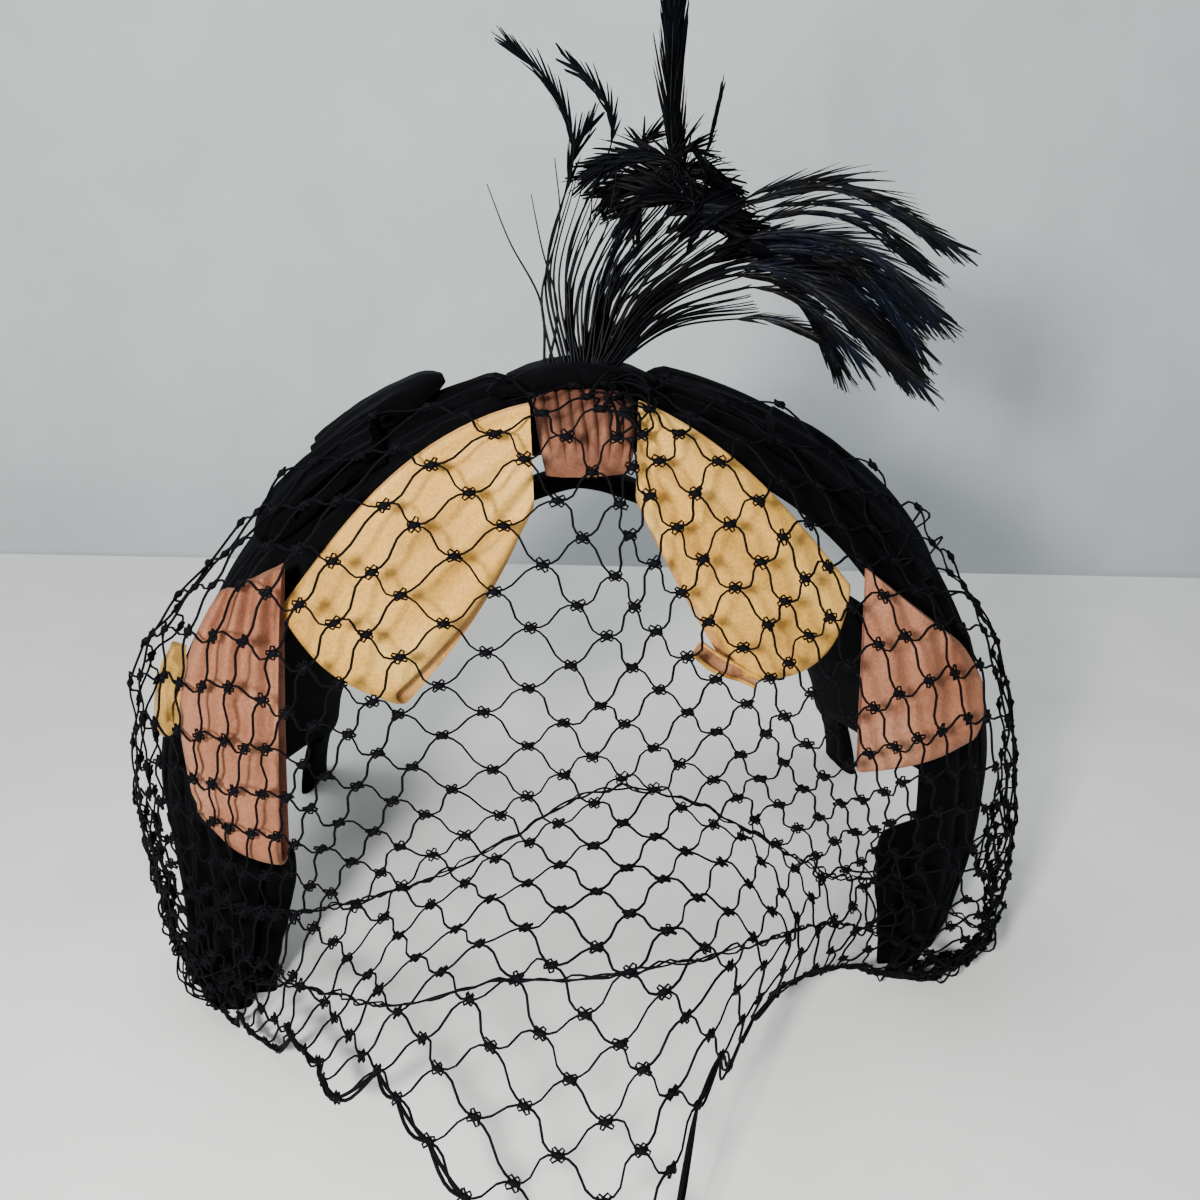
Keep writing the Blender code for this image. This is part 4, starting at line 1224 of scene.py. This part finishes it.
# The net from the left foot to the right, in millimetres but for the shares: the share along it,
# the seam's share across the band and its height over the face, then the net's place at the
# shoulder, fall, crease, brow, skirt and hem
NET_SHAPE = [
    (
        0.00, 0.60, 3, (-104, 17, 17), (-103, 13, 14), (-102, 12, 11),
        (-100, 11, 7), (-98, 10, 5), (-95.8, 9, 3),
    ),
    (
        0.10, 0.60, 4, (-106, 13, 52), (-99, -3, 50), (-94, -7, 30),
        (-91, -8, 17), (-90, -6, 9), (-91, 0, 3),
    ),
    (
        0.20, 0.56, 6, (-99, 8, 93), (-91, -8, 76), (-82, -11, 38),
        (-81, -13, 20), (-82, -12, 10), (-84, -8, 3),
    ),
    (
        0.30, 0.46, 9, (-71, -14, 113), (-67, -20, 84), (-63, -14, 38),
        (-64, -24, 25), (-67, -27, 14), (-70, -24, 7),
    ),
    (
        0.40, 0.30, 10, (-39, -15, 133), (-40, -20, 93), (-36, -15, 46),
        (-41, -45, 37), (-46, -51, 26), (-50, -53, 18),
    ),
    (
        0.45, 0.24, 8, (-19, -13, 141), (-20, -18, 98), (-18, -15, 56),
        (-22, -58, 52), (-29, -64, 35), (-33, -76, 17),
    ),
    (
        0.50, 0.20, 8, (1, -10, 145), (1, -17, 103), (-1, -15, 66),
        (-4, -64, 57), (-9, -71, 37), (-13, -89, 12),
    ),
    (
        0.55, 0.24, 8, (15, -13, 142), (16, -18, 98), (15, -15, 65),
        (13, -62, 58), (8, -71, 42), (5, -87, 14),
    ),
    (
        0.60, 0.30, 9, (29, -15, 135), (30, -20, 93), (31, -14, 56),
        (30, -45, 48), (23, -54, 39), (20, -60, 24),
    ),
    (
        0.70, 0.42, 8, (52, -17, 112), (53, -20, 79), (53, -11, 40),
        (50, -19, 32), (45, -22, 20), (40, -18, 12),
    ),
    (
        0.80, 0.50, 7, (84, -8, 96), (76, -18, 66), (70, -9, 35),
        (68, -9, 21), (63, -7, 12), (60, -2, 6),
    ),
    (
        0.90, 0.58, 4.5, (104, 10, 54), (100, -1, 32), (96, -4, 16),
        (88, -6, 8), (81, -6, 5), (76, -3, 3),
    ),
    (
        1.00, 0.60, 3, (103, 17, 16), (102, 12, 10), (99, 8, 6.5),
        (96, 5, 5), (91, 4, 4), (86, 4, 3),
    ),
]
SEAM_LOW = 0.05
GATHER_REACH = 0.18
GATHER_SHIFT = 0.012
GATHER_PULL = 0.8
GATHER_LEFT = 0.62
GATHER_DOWN = 0.45
GATHER_BELOW = 0.74
NET_SEED = 23
NET_COLUMNS = 25
NET_ROWS = 15
NET_DEEP = 200 * MM
NET_SQUARE = 0.6
SQUARE_FROM = 0.06
SQUARE_FADE = 0.16
HEM_REACH = 1.02
THREAD_HALF = 0.28 * MM
THREAD_LENGTH = 9.6 * MM
THREAD_PARTS = 6
FLOOR_CLEAR = 1.3
SLACK_MOST = 2.2 * MM
CURL = 0.8 * MM
PETAL_LONG = 3.2 * MM
PETAL_WIDE = 0.52 * MM
PETAL_HALF = 0.26 * MM
PETAL_POINTS = 5
HEART_HALF = 0.85 * MM
NET_CLEAR = 1.1 * MM
NET_PROBE = 40 * MM
NET_ROUNDS = 10
NET_LOOSE = 1.6 * MM
NET_LOWEST = 0.6 * MM
NET_STEP = 0.015
NET_SAMPLES = [k / 4 for k in range(5)]
HEAD_MIDDLE = at(0, 50, 60)
# Creases and edges where threads lie together: level of the table, share along the net where the
# line begins and ends, number of threads, their half thickness and how far apart they wander in mm
NET_CREASES = [
    (3, 0.14, 0.90, 3, 0.24, 0.9),
    (4, 0.16, 0.88, 3, 0.24, 0.9),
]
CREASE_STEP = 0.004
# The doubled edge: first and last column, half thickness in mm, and how far its threads bow
NET_EDGES = [
    (3, 27, 0.40, (0.20, 0.06)),
    (27, 48, 0.28, (0.34, 0.16, 0.0, -0.16)),
]
# Bunches: share along the net and down it, radius in millimetres, and number of strands
NET_BUNCHES = [
    (0.02, 0.55, 20, 60),
    (0.07, 0.80, 16, 40),
    (0.98, 0.55, 18, 50),
    (0.93, 0.80, 14, 36),
    (0.53, 0.04, 12, 44),
    (0.72, 0.10, 20, 44),
    (0.80, 0.70, 18, 30),
]
BUNCH_REACH = (3 * MM, 13 * MM)
BUNCH_BOW = 0.22
BUNCH_LEAN = 0.6


def gathered(along):
    """A share along the seam: the middle of the net is drawn in towards the knot."""
    off = along - 0.5
    near = 1 - ease(abs(off) / GATHER_REACH)
    pull = GATHER_PULL * (GATHER_LEFT if off < 0 else 1)
    return KNOT_MIDDLE + GATHER_SHIFT * near + off * (1 - pull * near)


def net_levels(along):
    """The net's levels from seam to hem at a share along it, each with its length from the seam."""
    rows = [(row[0], row[1], row[2], *[c for place in row[3:] for c in place]) for row in NET_SHAPE]
    across, lift, *places = through(rows, along)
    seam = band_point(mix(SEAM_LOW, 1 - SEAM_LOW, gathered(along)), across, lift * MM)
    levels = [seam] + [at(*places[k:k + 3]) for k in range(0, len(places), 3)]
    return [(long, *point) for long, point in zip(run_lengths(levels), levels)]


def net_point(along, down):
    """A point of the net: along it from the left foot to the right, and down from seam to hem."""
    off = along - 0.5
    near = (1 - ease(abs(off) / GATHER_REACH)) * (1 - ease(down / GATHER_DOWN))
    pull = GATHER_BELOW * (GATHER_LEFT if off < 0 else 1)
    drawn = 0.5 + GATHER_SHIFT * near + off * (1 - pull * near)
    levels = net_levels(drawn)
    return Vector(through(levels, down * levels[-1][0]))


def net_outward(along, down):
    """The way out of the net's surface at a point, away from the head."""
    run = net_point(min(along + NET_STEP, 1), down) - net_point(max(along - NET_STEP, 0), down)
    fall = net_point(along, min(down + NET_STEP, 1)) - net_point(along, max(down - NET_STEP, 0))
    out = run.cross(fall).normalized()
    return -out if out.dot(net_point(along, down) - HEAD_MIDDLE) < 0 else out


def pieces_below():
    """The pieces under the net as one tree of faces, in layout coordinates."""
    points, faces = [], []
    for made in bpy.context.scene.objects:
        if "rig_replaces" in made and not made.name.startswith("plume"):
            first = len(points)
            points += [v.co + FOOTPRINT_MIDDLE for v in made.data.vertices]
            faces += [tuple(first + v for v in face.vertices) for face in made.data.polygons]
    return BVHTree.FromPolygons(points, faces)


def clear_net(points, outward, strands, solids):
    """Lifts the net's knots until every strand passes clear of the pieces below it."""
    for _ in range(NET_ROUNDS):
        lifts = [0.0] * len(points)
        for a, b in strands:
            for share in NET_SAMPLES:
                spot = mix(points[a], points[b], share)
                out = mix(outward[a], outward[b], share).normalized()
                far = solids.ray_cast(spot + out * NET_PROBE, -out, NET_PROBE + NET_CLEAR)[3]
                if far is not None:
                    need = NET_PROBE + NET_CLEAR - far
                    lifts[a] = max(lifts[a], need * min(1.0, 2 - 2 * share))
                    lifts[b] = max(lifts[b], need * min(1.0, 2 * share))
        for k, lift in enumerate(lifts):
            points[k] = points[k] + outward[k] * lift


def off_floor(point, least):
    """The point, no lower than a height."""
    return Vector((point.x, point.y, max(point.z, least)))


def bowed(start, end, bow, wave=Vector()):
    """Points from start to end, bowed out in the middle, and waved from side to side."""
    shares = [k / THREAD_PARTS for k in range(THREAD_PARTS + 1)]
    return [
        mix(start, end, t) + bow * sin(pi * t) + wave * sin(tau * t)
        for t in shares
    ]


def lay(heap, path, half, sides=4):
    """A thread of even thickness along points, kept off the floor."""
    heap.tube([off_floor(p, half * FLOOR_CLEAR) for p in path], [half] * len(path), sides)


def slack_strand(heap, start, end, out, sideways, draw):
    """One side of a cell: it leaves each knot sideways, and bows and waves where it is slack."""
    gap = (end - start).length
    spare = max(0.0, THREAD_LENGTH - gap)
    bow = min(SLACK_MOST, sqrt(3 * gap * spare / 8)) * draw.uniform(0.3, 0.75)
    ahead = (end - start).normalized()
    across = (sideways - ahead * sideways.dot(ahead)).normalized()
    lean = (across * draw.choice((-1, 1)) + out * draw.uniform(0.1, 0.7)).normalized()
    curl = CURL * draw.uniform(0.6, 1.3)
    lay(heap, bowed(start, end, lean * bow, across * curl), THREAD_HALF)


def net_knot(heap, spot, along_way, down_way, draw):
    """The four small loops that tie the threads of four cells together."""
    for turn in (0.25, 0.75, 1.25, 1.75):
        angle = pi * (turn + draw.uniform(-0.08, 0.08))
        ahead = along_way * cos(angle) + down_way * sin(angle)
        aside = along_way * -sin(angle) + down_way * cos(angle)
        long, wide = PETAL_LONG * draw.uniform(0.42, 0.58), PETAL_WIDE * draw.uniform(0.7, 1.1)
        path = circle(spot + ahead * long * 0.5, ahead * long * -0.5, aside * wide, 1, PETAL_POINTS)
        heap.ring([off_floor(p, PETAL_HALF * FLOOR_CLEAR) for p in path], PETAL_HALF, 3)
    heart = [off_floor(spot + along_way * HEART_HALF * part, HEART_HALF) for part in (-1.5, 0, 1.5)]
    heap.tube(heart, [HEART_HALF * 0.45, HEART_HALF, HEART_HALF * 0.45], 5)


def net_creases(heap):
    """The lines where the net is folded or edged, and several threads lie side by side."""
    for level, first, last, threads, half, apart in NET_CREASES:
        steps = int((last - first) / CREASE_STEP)
        for n in range(threads):
            path = []
            for k in range(steps + 1):
                along = mix(first, last, k / steps)
                levels = net_levels(along)
                down = levels[level][0] / levels[-1][0]
                side = 3.1 * n + level
                drift = Vector([wobble(70 * along, side, 20 + axis) for axis in range(3)])
                path.append(net_point(along, down) + drift * apart * MM * 2)
            lay(heap, path, half * MM)


def net_edge(heap, points, corner):
    """The edge of the net, doubled from knot to knot: thick on the left, rolled on the right."""
    last = {}
    for i, j in corner:
        last[i] = max(last.get(i, 0), j)
    for first, end, half, bows in NET_EDGES:
        for i in range(first, end):
            a, b = points[corner[i, last[i]]], points[corner[i + 1, last[i + 1]]]
            above = points[corner[i, last[i] - 2]] + points[corner[i + 1, last[i + 1] - 2]]
            down = (a + b - above).normalized() * (b - a).length
            for bow in bows:
                lay(heap, bowed(a, b, down * bow), half * MM, 5)


def net_bunches(heap, points, outward, draw):
    """Loose strands between near knots, where the cloth is gathered."""
    for along, down, radius, count in NET_BUNCHES:
        middle = net_point(along, down)
        near = [k for k, p in enumerate(points) if (p - middle).length < radius * MM]
        for _ in range(count):
            a, b = draw.choice(near), draw.choice(near)
            gap = (points[b] - points[a]).length
            if BUNCH_REACH[0] < gap < BUNCH_REACH[1]:
                out = (outward[a] + outward[b]).normalized()
                way = out + Vector([draw.uniform(-BUNCH_LEAN, BUNCH_LEAN) for _ in range(3)])
                lay(heap, bowed(points[a], points[b], way * gap * BUNCH_BOW), THREAD_HALF)


def net_corners():
    """The net's knots by column and row, cut in steps at the hem, and their two shares."""
    wide, tall = 2 * NET_COLUMNS, 2 * NET_ROWS
    corner, places = {}, []
    for i in range(wide + 1):
        along = i / wide
        own = net_levels(along)[-1][0]
        square = NET_SQUARE * ease((min(along, 1 - along) - SQUARE_FROM) / SQUARE_FADE)
        for j in range(tall + 1):
            down = j / tall * mix(own, NET_DEEP, square) / own
            if (i + j) % 2 == 0 and down < HEM_REACH:
                corner[i, j] = len(places)
                places.append((along, min(down, 1.0)))
    return corner, places


def birdcage_net():
    """The open net: diamonds of wavy thread tied with four loops at each crossing."""
    draw = random.Random(NET_SEED)
    corner, places = net_corners()
    points, outward = [], []
    for (i, j), (along, down) in zip(corner, places):
        loose = Vector([wobble(i * 0.7, j * 0.7, plane) for plane in (5, 9, 14)])
        points.append(net_point(along, down) + loose * NET_LOOSE)
        outward.append(net_outward(along, down))
    strands, turns = [], []
    for (i, j), k in corner.items():
        for other in ((i + 1, j + 1), (i - 1, j + 1)):
            if other in corner:
                strands.append((k, corner[other]))
                turns.append(other[0] - i)
    clear_net(points, outward, strands, pieces_below())
    points = [off_floor(p, NET_LOWEST) for p in points]
    heap = Heap()
    rights = []
    for (i, j), k in corner.items():
        right = points[corner.get((i + 2, j), k)] - points[corner.get((i - 2, j), k)]
        rights.append((right - outward[k] * right.dot(outward[k])).normalized())
    for (a, b), turn in zip(strands, turns):
        out = (outward[a] + outward[b]).normalized()
        slack_strand(heap, points[a], points[b], out, (rights[a] + rights[b]) * turn, draw)
    for k, right in enumerate(rights):
        net_knot(heap, points[k], right, outward[k].cross(right), draw)
    net = add_piece("birdcage_net", heap.points, heap.faces, NET, "net", "veil", sharp=None)
    loose = Heap()
    net_creases(loose)
    net_edge(loose, points, corner)
    net_bunches(loose, points, outward, draw)
    return net, add_piece("birdcage_net_folds", loose.points, loose.faces, NET, "net", sharp=None)


front_band()
back_band()
centre_knot()
for loop_name, loop_row in LOOPS.items():
    ribbon_loop(loop_name, loop_row)
turned_corner()
band_loops()
end_tabs()
plume()
veil_net, veil_folds = birdcage_net()
